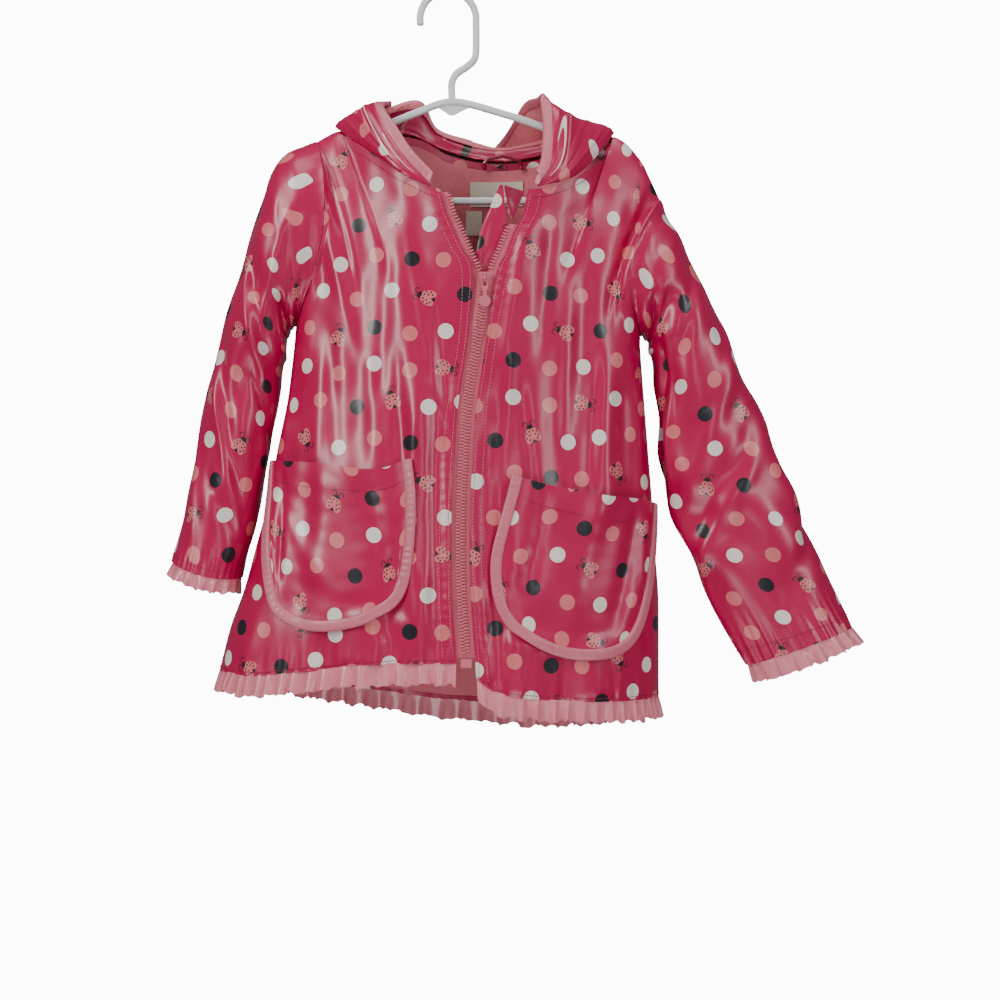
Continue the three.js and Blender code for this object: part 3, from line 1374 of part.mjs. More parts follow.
// Zip and what shows in the neck opening
piece("zip_tape_right", zipTape("right", -170), TRIM_PINK, 0.6);
piece("zip_tape_left", zipTape("left", -196), TRIM_PINK, 0.6);
piece("zip_slider", zipSlider(), TRIM_PINK, 0.35);
piece("zip_pull", zipPull(), TRIM_PINK, 0.35);
{
  const x = zipX(-541);
  const y = form(angleOfX(x, -541), -541, false)[1];
  piece(
    "zip_stop",
    plate([[x - 4.2, -537.2], [x - 4.2, -544], [x + 4.2, -544], [x + 4.2, -537.2]], y - 0.4, y + 2.6),
    TRIM_PINK,
    0.35,
  );
}
piece("wind_flap", windFlap(), PINK, 0.25);
piece("neck_facing", neckFacing(), 0x9a0a3c, 0.5);
piece("neck_label", label([17.5, 62.5], [-148, -168]), 0xefe6d2, 0.8);
piece("size_label", label([14, 27.5], [-171.5, -191.5]), 0xefe6d2, 0.8);
piece(
  "hang_loop",
  bar([[30, 22, -139], [29.5, 20.5, -134], [33, 19, -130.5], [45, 18, -128.5], [58, 18.5, -131.5], [61, 19.8, -135.5], [60, 21, -139.5]], 1.6, 8),
  PINK,
  0.3,
);

// Ruffles
piece("hem_ruffle_right", hemRuffle(PANELS.frontRight, { height: 18, waves: 20, swing: 3.2, seed: 1 }), FRILL_PINK, 0.3);
piece("hem_ruffle_left", hemRuffle(PANELS.frontLeft, { height: 18, waves: 16, swing: 3.2, seed: 4 }), FRILL_PINK, 0.3);
piece("hem_ruffle_back", hemRuffle(PANELS.back, { height: 18, waves: 32, swing: 3.2, seed: 2 }), FRILL_PINK, 0.3);
piece("cuff_ruffle_right", cuffRuffle(SLEEVE_RIGHT, SLEEVE_FOLDS_RIGHT, "right", { height: 12, waves: 16, swing: 2.6, seed: 3 }), FRILL_PINK, 0.3);
piece("cuff_ruffle_left", cuffRuffle(SLEEVE_LEFT, SLEEVE_FOLDS_LEFT, "left", { height: 16, waves: 18, swing: 2.8, seed: 5 }), FRILL_PINK, 0.3);

// Hanger
const hookArc = [];
for (let a = HOOK.tipAngle; a >= 0; a -= 14) hookArc.push([HOOK.x + HOOK.r * Math.cos(rad(a)), 0, HOOK.z + HOOK.r * Math.sin(rad(a))]);
const neckPath = [...hookArc, ...HANGER_NECK.map(([x, z]) => [x, 0, z])];
const armLoop = [];
const armRows = [...HANGER_ARMS, HANGER_ARMS[0]].map(([x, z]) => [x, 0, z]);
for (let i = 0; i < armRows.length - 1; i++) armLoop.push(armRows[i]);
piece(
  "hanger",
  union([
    bar(neckPath, TUBE_R, 8),
    bar(armLoop, TUBE_R, 8, true),
    plate([[-12, -90.5], [3, -87], [20, -91.5], [10, -96], [5, -99], [1, -99], [-3, -96]], -1.2, 1.2),
  ]),
  0xf4f4f2,
  0.3,
);

const coat = new THREE.Group();
coat.name = "toddler_raincoat_on_hanger";
for (const mesh of nodes) coat.add(mesh);
export default coat;
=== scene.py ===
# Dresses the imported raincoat: thin cloth on the solids' form, print, gathers, stitching, zip and light.
"""Toddler raincoat on a child hanger, dressed for its render.

Sizes are in millimetres in the tables and functions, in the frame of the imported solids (origin at the
inside top of the hook, +Z up, front to -Y, +X to the viewer's right), and become metres in Cloth.add.
"""

from __future__ import annotations

import logging
import math
from dataclasses import dataclass, field
from enum import Enum
from typing import Callable, Optional, Sequence

import bpy
import numpy as np
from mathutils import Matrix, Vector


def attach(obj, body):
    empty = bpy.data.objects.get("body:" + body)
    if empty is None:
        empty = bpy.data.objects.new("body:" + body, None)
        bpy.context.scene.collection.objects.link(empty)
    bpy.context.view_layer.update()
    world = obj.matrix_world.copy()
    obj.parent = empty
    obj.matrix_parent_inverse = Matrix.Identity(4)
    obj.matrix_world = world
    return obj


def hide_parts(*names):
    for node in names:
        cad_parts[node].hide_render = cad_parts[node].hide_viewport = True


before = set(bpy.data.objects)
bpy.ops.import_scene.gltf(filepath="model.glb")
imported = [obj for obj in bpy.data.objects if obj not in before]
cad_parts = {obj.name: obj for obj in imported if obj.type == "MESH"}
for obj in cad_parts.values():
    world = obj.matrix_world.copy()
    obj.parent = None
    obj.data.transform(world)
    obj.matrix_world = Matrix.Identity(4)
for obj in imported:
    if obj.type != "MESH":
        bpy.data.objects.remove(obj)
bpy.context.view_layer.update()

log = logging.getLogger("raincoat")
Array = np.ndarray

# Thicknesses, gaps and shared lines, as in the solids
WALL = 1.6
SEAM_GAP = 0.35
TAPE = 0.9
TEETH_ROOM = 1.5
CHEST_Z = -291.5
YOKE = 0.36
FULLNESS = 0.85
ZIP_HALF = 7.2
BINDING = 7.5
POCKET_LIFT = 3.0
LINING_GAP = 2.0
TUBE_R = 3.0
SLIDER_Z = -240.5
HOOK = {"x": 0.0, "z": -20.0, "r": 23.0, "tip": 190.0}
HOOD_ROWS = ["roll", "crest", "fold", "deep", "bottom", "rear", "edge"]
PULL_RIGHT = 18.0
PULL_LEFT = -52.0

# Tables shared with the solids
BODY = [
    # z, right, left, front, behind
    [-279.0, -124.5, 156.5, 58, 48],
    [-291.5, -126.0, 157.5, 59, 49],
    [-332.5, -131.0, 160.5, 63, 52],
    [-377.5, -140.0, 164.0, 67, 55],
    [-414.5, -146.5, 167.0, 70, 57],
    [-455.5, -157.5, 169.5, 73, 60],
    [-488.0, -166.5, 172.0, 75, 62],
    [-517.0, -177.0, 172.5, 76, 63],
    [-552.0, -186.0, 172.5, 77, 65],
    [-595.0, -197.0, 172.5, 77, 66],
]
ZIP_LINE = [
    # z, x
    [-225.0, 31.5],
    [-248.0, 30.0],
    [-297.0, 23.5],
    [-336.5, 17.5],
    [-367.5, 15.0],
    [-414.5, 12.5],
    [-453.0, 12.0],
    [-491.5, 13.0],
    [-541.0, 16.5],
    [-600.0, 19.0],
]
EDGE_RIGHT = [
    # x, y, z
    [-5.0, -45, -168.0],
    [-2.5, -46, -176.5],
    [-1.0, -47, -183.5],
    [4.5, -49, -197.5],
    [13.5, -52, -217.5],
    [21.5, -54, -235.0],
]
EDGE_LEFT = [
    # x, y, z
    [65.0, -43, -168.0],
    [63.0, -44, -176.5],
    [60.5, -46, -189.0],
    [54.0, -48, -201.5],
    [47.0, -51, -220.0],
    [39.5, -54, -237.5],
]
NECK_RIGHT = [
    # x, y, z
    [-5.0, -45, -168.0],
    [-15.5, -43, -165.5],
    [-28.0, -39, -158.5],
    [-41.0, -34, -151.0],
    [-54.0, -26, -140.5],
    [-66.5, -18, -130.0],
    [-79.5, -9, -120.5],
    [-91.0, 0, -112.0],
]
NECK_LEFT = [
    # x, y, z
    [65.0, -43, -168.0],
    [82.5, -40, -165.5],
    [101.0, -33, -158.0],
    [116.0, -24, -147.0],
    [127.0, -14, -136.0],
    [136.0, 0, -116.0],
]
NECK_BACK = [
    # x, y, z
    [-91.0, 0, -112.0],
    [-74.5, 8, -110.0],
    [-57.0, 14, -111.0],
    [-24.0, 21, -114.5],
    [-1.0, 26, -126.0],
    [26.0, 28, -132.0],
    [47.0, 28, -133.0],
    [69.5, 26, -131.0],
    [92.5, 20, -126.5],
    [113.0, 12, -121.5],
    [136.0, 0, -116.0],
]
SHOULDER_RIGHT = [
    [-91.0, 0, -112.0],
    [-99.0, 0, -116.0],
    [-107.5, 0, -121.0],
]
SHOULDER_LEFT = [
    [136.0, 0, -116.0],
    [146.0, 0, -122.0],
    [152.5, 0, -129.0],
    [157.5, 0, -135.5],
    [161.5, 0, -142.0],
    [167.5, 0, -155.0],
    [174.0, 0, -169.0],
]
ARMHOLE = {
    "right": {"top": [-107.5, -121.0], "low": [-124.5, -271.0], "bow": 17.5, "front": 34, "behind": 30},
    "left": {"top": [174.0, -169.0], "low": [157.5, -279.0], "bow": -18.0, "front": 36, "behind": 30},
}
HEM_RIGHT = [
    [-190, -552],
    [-149, -553],
    [-123, -549.5],
    [-94, -546.5],
    [-68.5, -542.5],
    [-31, -541],
    [12, -541],
]
HEM_LEFT = [
    [20, -546],
    [29.5, -557],
    [43.5, -564.5],
    [75, -569.5],
    [107.5, -572],
    [136, -573],
    [159, -573.5],
    [176, -574.5],
]
HEM_BACK = [
    [-190, -552],
    [-150, -561],
    [-84.5, -574.5],
    [-53, -579],
    [-4, -586],
    [17.5, -587.5],
    [77, -593],
    [130, -588],
    [176, -574.5],
]
SLEEVE_RIGHT = [
    # outer x, outer z, inner x, inner z, mid y, half depth, bow
    [-107.5, -121.0, -124.5, -271.0, 0, 34, 17.5],
    [-124.5, -126.0, -126.6, -272.5, 1, 36, 15.0],
    [-138.5, -135.5, -128.0, -274.5, 1, 37, 11.0],
    [-146.0, -149.5, -129.4, -277.0, 1, 38, 7.0],
    [-152.5, -169.0, -130.6, -280.0, 1, 38, 4.0],
    [-162.5, -198.0, -132.0, -286.0, 1, 37, 2.0],
    [-172.0, -230.0, -134.0, -296.5, 1, 36, 0.0],
    [-182.0, -267.0, -136.4, -313.0, 1, 35, 0.0],
    [-190.0, -299.0, -139.5, -333.0, 1, 34, 0.0],
    [-197.5, -331.0, -143.5, -360.0, 0, 33, 0.0],
    [-204.5, -366.0, -148.5, -389.0, -2, 32, 0.0],
    [-211.0, -402.0, -153.6, -418.0, -4, 31, 0.0],
    [-217.0, -434.0, -160.0, -449.0, -6, 30, 2.0],
    [-223.5, -464.0, -168.0, -478.0, -8, 29, 4.0],
]
SLEEVE_LEFT = [
    # outer x, outer z, inner x, inner z, mid y, half depth, bow
    [174.0, -169.0, 157.5, -279.0, 0, 36, -18.0],
    [178.5, -178.0, 159.8, -280.5, 0, 36, -15.0],
    [185.5, -191.5, 161.4, -282.5, 0, 36, -11.0],
    [192.5, -206.0, 162.8, -285.0, 0, 36, -7.0],
    [201.0, -222.5, 164.0, -289.0, 0, 35, -4.0],
    [210.0, -242.0, 165.2, -295.0, -1, 34, -2.0],
    [219.5, -263.5, 166.6, -306.0, -2, 33, 0.0],
    [232.0, -291.5, 168.4, -325.0, -3, 32, 0.0],
    [244.0, -319.0, 170.6, -347.0, -4, 30, 0.0],
    [256.5, -347.0, 173.0, -371.0, -5, 28, 0.0],
    [269.0, -376.0, 176.0, -397.0, -6, 27, 0.0],
    [281.0, -404.5, 182.0, -427.0, -7, 26, 0.0],
    [293.5, -437.0, 196.0, -459.0, -8, 25, 0.0],
    [307.5, -474.0, 214.0, -494.0, -8, 24, 0.0],
    [329.5, -517.0, 244.0, -548.0, -8, 23, 0.0],
]
HOOD_RIGHT = [
    {"seam": ["front", 0.07], "roll": [-13, -44.6, -166.2], "crest": [-13, -45, -165.6],
        "fold": [-13, -45.2, -165], "deep": [-13, -45.4, -164.4], "bottom": [-12.8, -45.5, -163.8],
        "rear": [-12.6, -45.5, -163.2], "edge": [-12.4, -45.5, -162.5]},
    {"seam": ["front", 0.4], "roll": [-42.5, -38, -149], "crest": [-43.5, -40, -146],
        "fold": [-43, -40.5, -143], "deep": [-41.5, -40, -140.5], "bottom": [-40, -39.5, -138],
        "rear": [-38.5, -38.5, -136], "edge": [-36.5, -37.5, -134]},
    {"seam": ["front", 1], "roll": [-87, -5, -106.5], "crest": [-80, -9, -102.5],
        "fold": [-74, -11.5, -99.5], "deep": [-69, -14, -97.5], "bottom": [-65, -15.5, -96.5],
        "rear": [-61, -17, -96], "edge": [-57.5, -18, -96.5]},
    {"seam": ["back", 0.035], "roll": [-80, 7, -104], "crest": [-71, 6, -99.5], "fold": [-66, 8, -98],
        "deep": [-63, 11, -97], "bottom": [-60.5, 13.5, -95.5], "rear": [-57.5, 14.5, -92], "edge": [-53.5, 14, -88.5]},
    {"seam": ["back", 0.1], "roll": [-67, 11, -103], "crest": [-51, 6, -94], "fold": [-51, 15, -96],
        "deep": [-57, 34, -120], "bottom": [-61, 46, -150], "rear": [-58, 51, -126],
        "edge": [-49, 37, -103]},
    {"seam": ["back", 0.26], "roll": [-33, 19, -103], "crest": [-25, 20, -86.5], "fold": [-28, 32, -92],
        "deep": [-36, 47, -160], "bottom": [-41, 62, -236], "rear": [-40, 79, -180],
        "edge": [-36, 69, -128]},
    {"seam": ["back", 0.38], "roll": [-9, 28, -116.5], "crest": [-12, 31, -106], "fold": [-11, 41, -112],
        "deep": [-11, 53, -195], "bottom": [-11, 69, -280], "rear": [-10, 86, -210],
        "edge": [-8, 78, -146]},
    {"seam": ["back", 0.5], "roll": [20, 31, -125], "crest": [19, 36, -116.5], "fold": [19, 45, -122],
        "deep": [20, 56, -215], "bottom": [20, 71, -300], "rear": [20, 88, -220], "edge": [20, 74, -136]},
]
HOOD_LEFT = [
    {"seam": ["front", 0.07], "roll": [73, -43.6, -166], "crest": [73, -44, -165.4],
        "fold": [73, -44.2, -164.8], "deep": [73, -44.4, -164.2], "bottom": [73, -44.5, -163.6],
        "rear": [73, -44.5, -163], "edge": [73.2, -44.5, -162.4]},
    {"seam": ["front", 0.42], "roll": [101, -36.5, -154], "crest": [98, -38.5, -150],
        "fold": [94.5, -39.5, -147.5], "deep": [91.5, -40, -145.5], "bottom": [88.5, -40, -144],
        "rear": [85.5, -39.5, -142.5], "edge": [82.5, -39, -141.5]},
    {"seam": ["front", 1], "roll": [131, -5, -111.5], "crest": [122, -9, -109],
        "fold": [112, -12, -106.5], "deep": [104, -14, -103], "bottom": [97, -16, -100],
        "rear": [90, -18.5, -96.5], "edge": [82.5, -20.5, -93.5]},
    {"seam": ["back", 0.93], "roll": [122, 11, -112], "crest": [117, 17, -107.5],
        "fold": [114, 28, -108], "deep": [111, 40, -128], "bottom": [104, 55, -146],
        "rear": [91, 50, -120], "edge": [74, 9, -88]},
    {"seam": ["back", 0.8], "roll": [91, 23, -120], "crest": [90, 28, -113.5], "fold": [90, 38, -117],
        "deep": [88, 50, -175], "bottom": [84, 65, -240], "rear": [77, 72, -170], "edge": [63, 30, -90]},
    {"seam": ["back", 0.62], "roll": [48, 31, -127], "crest": [48, 35, -121], "fold": [48, 44, -127],
        "deep": [47, 54, -205], "bottom": [46, 70, -285], "rear": [46, 85, -205], "edge": [46, 52, -112]},
    {"seam": ["back", 0.5], "roll": [20, 31, -125], "crest": [19, 36, -116.5], "fold": [19, 45, -122],
        "deep": [20, 56, -215], "bottom": [20, 71, -300], "rear": [20, 88, -220], "edge": [20, 74, -136]},
]
POCKET_RIGHT = {
    "outline": [[-78, -382.8], [-67.4, -432], [-56.5, -478], [-49.4, -497.5], [-39.8, -507.4],
        [-30, -508.6], [-21.4, -502.7], [-14.6, -487.1], [-13.1, -455.4], [-14.4, -416], [-16.7, -384]],
    "top": [[-78, -382.8], [-62, -384], [-48, -385.5], [-38.9, -387.5], [-30, -390.5],
        [-22.5, -389.5], [-16.7, -384]],
}
POCKET_LEFT = {
    "outline": [[18.3, -397.3], [15.5, -431.5], [13.4, -465.5], [15.6, -494], [20.8, -513],
        [30.2, -526.5], [39.3, -531], [50.6, -528.5], [59, -513.5], [67, -475], [79, -416.8]],
    "top": [[18.3, -397.3], [25, -402], [31.1, -405.2], [46.5, -410.5], [62, -413.5], [79, -416.8]],
}
FOLDS_RIGHT = [
    # x0, z0, x1, z1, half width, height
    [-48, -190, -22, -360, 13, 3.0],
    [-20, -330, -14, -530, 10, 4.5],
    [-4, -300, 2, -520, 8, -3.0],
    [-70, -230, -66, -375, 15, -3.5],
    [-100, -240, -118, -540, 16, -3.0],
    [-60, -500, -66, -545, 14, 4.0],
    [-135, -420, -165, -545, 14, 4.0],
]
FOLDS_LEFT = [
    # x0, z0, x1, z1, half width, height
    [70, -185, 48, -330, 14, 3.0],
    [46, -320, 34, -540, 10, -3.5],
    [110, -200, 96, -400, 18, -4.0],
    [132, -290, 128, -420, 14, 3.5],
    [60, -520, 56, -568, 14, 3.5],
    [118, -525, 122, -570, 16, 4.0],
]
FOLDS_BACK = [
    # x0, z0, x1, z1, half width, height
    [-70, -190, -96, -560, 20, 4.5],
    [-30, -300, -40, -575, 16, -4.0],
    [24, -310, 22, -585, 20, 5.0],
    [80, -210, 88, -585, 18, -4.0],
    [128, -250, 140, -575, 18, 4.0],
]
SLEEVE_FOLDS_RIGHT = [
    # station 0-1, degrees round from the outer line over the front, half widths of both, height
    [0.42, 60, 0.05, 40, -6.0],
    [0.62, 100, 0.07, 45, -5.0],
    [0.3, 150, 0.05, 30, -5.0],
    [0.8, 50, 0.06, 40, -3.5],
    [0.5, 270, 0.06, 50, -4.5],
]
SLEEVE_FOLDS_LEFT = [
    [0.26, 120, 0.06, 40, -6.0],
    [0.45, 150, 0.1, 26, -7.0],
    [0.62, 80, 0.06, 50, -3.5],
    [0.8, 130, 0.05, 40, -4.0],
    [0.5, 260, 0.08, 50, -4.5],
]
TEETH_RIGHT = [
    # z, x
    [-169.0, 0.5],
    [-176.0, 3.5],
    [-183.5, 5.0],
    [-197.0, 11.0],
    [-217.5, 20.0],
    [-235.0, 27.5],
    [-240.0, 30.1],
]
TEETH_LEFT = [
    # z, x
    [-195.5, 50.0],
    [-217.5, 41.0],
    [-235.0, 33.5],
    [-240.0, 30.9],
]
FLAP = [
    # z, left x, right x, y
    [-163.0, 42.5, 45.0, -36.0],
    [-172.0, 38.5, 45.8, -37.0],
    [-183.5, 34.0, 47.0, -39.0],
    [-197.0, 28.5, 48.0, -41.5],
    [-211.5, 25.0, 46.0, -44.0],
    [-222.0, 23.5, 43.5, -46.0],
    [-235.0, 22.5, 42.0, -48.0],
]
FACING = [
    [45.8, -37.5, -163.5],
    [62.0, -39.6, -169.0],
    [53.0, -43.0, -192.0],
    [49.8, -42.0, -189.0],
]
FAN_RIGHT = [
    # share of top edge, share of turn
    [0, 0],
    [0.4, 0.33],
    [0.47, 0.4],
    [0.6, 0.49],
    [0.735, 0.575],
    [0.87, 0.685],
    [0.94, 0.8],
    [1, 1],
]
FAN_LEFT = [
    [0, 0],
    [0.34, 0.34],
    [0.52, 0.54],
    [0.76, 0.705],
    [0.88, 0.765],
    [0.94, 0.845],
    [1, 1],
]
FAN_BACK = [
    [0, 0],
    [0.03, 0.085],
    [0.0625, 0.145],
    [0.125, 0.2],
    [0.25, 0.265],
    [0.29, 0.3],
    [0.64, 0.64],
    [0.76, 0.77],
    [0.88, 0.855],
    [0.94, 0.885],
    [0.97, 0.922],
    [1, 1],
]
HANGER_NECK = [[23, -22], [23, -44], [21.5, -53], [15, -59.5], [7, -65], [3.2, -72], [3, -80], [3.6, -90]]
HANGER_ARMS = [
    # x, z once round from the middle of the arms
    [3.6, -88], [-27, -97.5], [-58.5, -110.5], [-91, -122.9], [-118, -135.4], [-130.5, -144.5],
    [-137, -152], [-136, -161], [-128, -167.5], [-118, -169], [5, -169.5], [135, -168.5],
    [143, -166.5], [149, -160], [150, -151.5], [145.5, -143.5], [136, -136.5], [116.5, -125], [79.5, -109.5],
    [42.5, -97],
]

# Creases of the fronts and back too small for the solids: a line in front view, half width, height
CREASES_RIGHT = [
    [-30, -205, -8, -330, 4.5, 1.6], [-46, -215, -52, -330, 6, -1.4], [-14, -250, -2, -360, 4, 1.4],
    [-26, -345, -24, -520, 5, 2.2], [-10, -370, -8, -535, 4, -2.0], [-2, -340, 4, -530, 3.5, 1.5],
    [-38, -300, -34, -385, 5, -1.6], [-60, -300, -56, -378, 6, 1.5], [-92, -280, -86, -380, 6, -1.6],
    [-100, -300, -104, -390, 6, 1.8], [-118, -300, -132, -420, 7, -2.2], [-82, -150, -70, -230, 6, 1.3],
    [-50, -520, -54, -548, 6, 2.2], [-90, -515, -94, -550, 6, -1.8], [-34, -505, -30, -545, 5, 1.8],
    [-150, -470, -170, -550, 7, -2.2], [-176, -500, -186, -555, 5, 1.8], [-16, -470, -22, -545, 4, 1.4],
    [-110, -175, -96, -250, 7, -2.0], [-96, -205, -70, -300, 5, 1.2],
]
CREASES_LEFT = [
    [62, -200, 46, -300, 4.5, 1.6], [84, -190, 74, -300, 6, -1.5], [52, -300, 44, -400, 4.5, 1.6],
    [40, -360, 34, -480, 4, 1.5], [100, -250, 92, -380, 6, 1.8], [120, -300, 112, -400, 6, -1.8],
    [140, -330, 138, -400, 6, -2.0], [156, -300, 156, -410, 5, 2.0], [150, -175, 130, -260, 6, -1.8],
    [120, -160, 104, -240, 6, 1.4], [30, -490, 34, -556, 4, 1.8], [46, -500, 42, -566, 4, -1.8],
    [74, -530, 70, -570, 5, 1.8], [92, -535, 92, -572, 5, -1.6], [136, -530, 140, -574, 5, 1.8],
    [158, -500, 162, -574, 5, -2.0], [60, -330, 70, -420, 4, -1.3],
]
CREASES_BACK = [
    [-110, -200, -130, -420, 8, -2.4], [-60, -320, -74, -560, 7, 2.0], [-10, -330, -12, -585, 7, -2.2],
    [50, -320, 54, -590, 8, 2.2], [104, -230, 112, -500, 7, 2.0], [-150, -350, -164, -560, 7, 2.0],
    [146, -300, 154, -560, 6, -2.0], [70, -330, 66, -500, 5, 1.6], [-90, -380, -104, -560, 6, -1.8],
    [30, -400, 34, -580, 5, 1.8],
]

# Sleeve creases: degrees from the middle of the front and millimetres along, half width, height
SLEEVE_CREASES_RIGHT = [
    [-60, 118, 50, 168, 9, -3.0], [-55, 138, 45, 186, 6, 2.4], [-70, 178, 30, 262, 10, -3.2],
    [-60, 200, 40, 285, 6, 2.6], [30, 100, 100, 128, 7, -2.4], [40, 118, 110, 152, 6, 2.2],
    [-20, 40, 10, 130, 9, 1.6], [-90, 60, -60, 160, 10, -2.0], [20, 190, 90, 232, 7, -2.4],
    [-30, 262, 50, 296, 6, -2.0], [-80, 235, -30, 300, 7, 1.8], [100, 40, 150, 120, 10, -2.0],
    [150, 100, 210, 180, 10, 2.4], [-150, 120, -100, 200, 9, -2.4], [-170, 200, -120, 280, 9, 2.0],
]
SLEEVE_CREASES_LEFT = [
    [10, 60, 100, 86, 7, -2.6], [0, 74, 90, 108, 5, 2.2], [50, 120, 96, 215, 8, -3.4],
    [30, 110, 70, 230, 6, 2.2], [-60, 90, 30, 150, 10, -2.0], [-80, 150, 20, 215, 9, 2.0],
    [-50, 210, 60, 262, 8, -2.4], [-30, 232, 70, 286, 6, 2.2], [-90, 270, 0, 306, 7, -1.8],
    [-10, 20, 30, 90, 8, 1.4], [100, 200, 160, 280, 9, 2.2], [110, 60, 170, 150, 10, -2.4],
    [-160, 60, -110, 150, 10, 2.2], [-150, 180, -90, 270, 9, -2.4],
]

# Pocket creases: millimetres across and down the patch, half width, height
POCKET_CREASES = {
    "right": [[20, 8, 26, 110, 6, -1.6], [62, 4, 58, 100, 7, 1.4], [92, 10, 98, 90, 6, -1.8], [40, 60, 80, 120, 8, 1.2]],
    "left": [[18, 10, 30, 100, 6, -1.6], [56, 6, 60, 110, 8, 1.6], [88, 10, 84, 120, 6, -1.6], [100, 20, 110, 90, 6, 1.4]],
}


# Curves and noise

def smooth(t: Array) -> Array:
    """Soft step from 0 to 1 as t goes from 0 to 1."""
    c = np.clip(t, 0.0, 1.0)
    return c * c * (3 - 2 * c)


def unit(p: Array) -> Array:
    """The same vectors with length 1."""
    return p / np.maximum(np.linalg.norm(p, axis=-1, keepdims=True), 1e-9)


def lerp(a: Array, b: Array, t: Array) -> Array:
    """Between a and b by share t."""
    return a + (b - a) * t


def hermite(b: Array, c: Array, m0: Array, m1: Array, f: Array) -> Array:
    """Cubic from b to c with end slopes m0 and m1 at share f."""
    f2 = f * f
    f3 = f2 * f
    return (2 * f3 - 3 * f2 + 1) * b + (f3 - 2 * f2 + f) * m0 + (3 * f2 - 2 * f3) * c + (f3 - f2) * m1


def through(rows: Sequence, t: Array) -> Array:
    """Smooth curve through rows, t from 0 to 1 in equal steps per row.

    Args:
        rows: The rows, each a point or an array of points.
        t: Shares of the way, any shape.

    Returns:
        Array of t's shape followed by a row's shape.
    """
    rows = np.asarray(rows, float)
    t = np.asarray(t, float)
    n = len(rows) - 1
    x = np.clip(t, 0, 1) * n
    i = np.minimum(n - 1, np.floor(x)).astype(int)
    f = (x - i).reshape(t.shape + (1,) * (rows.ndim - 1))
    ext = np.concatenate([2 * rows[:1] - rows[1:2], rows, 2 * rows[-1:] - rows[-2:-1]])
    a, b, c, d = ext[i], ext[i + 1], ext[i + 2], ext[i + 3]
    return hermite(b, c, (c - a) / 2, (d - b) / 2, f)


class Path:
    """A smooth curve read by its length."""

    def __init__(self, rows: Sequence, steps: int = 160) -> None:
        self.points = through(rows, np.linspace(0, 1, steps + 1))
        step = np.linalg.norm(np.diff(self.points, axis=0), axis=1)
        self.length = float(step.sum())
        self.share = np.concatenate([[0], np.cumsum(step)]) / self.length

    def at(self, t: Array) -> Array:
        """Points at shares t of the way along."""
        t = np.clip(np.asarray(t, float), 0, 1)
        return np.stack([np.interp(t, self.share, p) for p in self.points.T], axis=-1)


class Table:
    """Columns of a table, read smoothly by its first column."""

    def __init__(self, rows: Sequence) -> None:
        rows = np.asarray(rows, float)
        self.rows = rows if rows[0, 0] < rows[1, 0] else rows[::-1]

    def at(self, key: Array) -> Array:
        """Rows at the given keys, the last axis being the columns."""
        r = self.rows
        key = np.asarray(key, float)
        i = np.clip(np.searchsorted(r[:, 0], key, side="right") - 1, 0, len(r) - 2)
        a, b = r[i], r[i + 1]
        before, after = r[np.maximum(i - 1, 0)], r[np.minimum(i + 2, len(r) - 1)]
        h = b[..., :1] - a[..., :1]
        f = np.clip((key[..., None] - a[..., :1]) / h, 0, 1)
        m0 = (b - before) / (b[..., :1] - before[..., :1]) * h
        m1 = (after - a) / (after[..., :1] - a[..., :1]) * h
        return hermite(a, b, m0, m1, f)


def ripple(x: Array, y: Array, wave: float, seed: int, terms: int = 7) -> Array:
    """Soft uneven noise between about -1 and 1 with the given wavelength."""
    rng = np.random.default_rng(seed)
    total = np.zeros(np.broadcast(x, y).shape)
    for _ in range(terms):
        a = rng.uniform(0, 2 * math.pi)
        k = 2 * math.pi / (wave * rng.uniform(0.7, 1.6))
        total = total + np.sin(k * (x * math.cos(a) + y * math.sin(a)) + rng.uniform(0, 6.28))
    return total / terms ** 0.5 / 1.2


def line_fold(x: Array, y: Array, folds: Sequence) -> Array:
    """Height of folds that are straight lines in x, y with a half width and a height."""
    total = np.zeros(np.broadcast(x, y).shape)
    for x0, y0, x1, y1, width, height in folds:
        dx, dy = x1 - x0, y1 - y0
        l2 = dx * dx + dy * dy
        t = ((x - x0) * dx + (y - y0) * dy) / l2
        off = ((x - x0) * dy - (y - y0) * dx) / math.sqrt(l2)
        total = total + height * np.exp(-((off / width) ** 2)) * smooth((t + 0.15) / 0.3) * smooth((1.15 - t) / 0.3)
    return total


def grid_normals(pts: Array, out: Sequence[float], ring: bool = False) -> Array:
    """Normals of a grid of points, on the side of `out` at its middle."""
    if ring:
        du = np.roll(pts, -1, axis=0) - np.roll(pts, 1, axis=0)
    else:
        du = np.gradient(pts, axis=0)
    dv = np.gradient(pts, axis=1)
    n = unit(np.cross(du, dv))
    middle = n[0 if ring else n.shape[0] // 2, n.shape[1] // 2]
    return n if float(np.dot(middle, out)) >= 0 else -n


# Body surfaces, worked out as in the solids

BODY_TABLE, ZIP_TABLE = Table(BODY), Table(ZIP_LINE)


def body_form(angle: Array, z: Array, behind: bool) -> Array:
    """Boxy ellipse of the body at each height, angle -90 at the right side seam and 90 at the left."""
    row = BODY_TABLE.at(z)
    right, left, front, back = (row[..., k] for k in (1, 2, 3, 4))
    a = np.radians(angle)
    c = np.maximum(0.0, np.cos(a)) ** FULLNESS
    x = (right + left) / 2 + (left - right) / 2 * np.sin(a)
    y = back * c + SEAM_GAP if behind else -front * c - SEAM_GAP
    return np.stack(np.broadcast_arrays(x, y, z), axis=-1)


def angle_of_x(x: Array, z: Array) -> Array:
    """The angle round the body at which the form has this x."""
    row = BODY_TABLE.at(z)
    right, left = row[..., 1], row[..., 2]
    return np.degrees(np.arcsin(np.clip((x - (right + left) / 2) / ((left - right) / 2), -1, 1)))


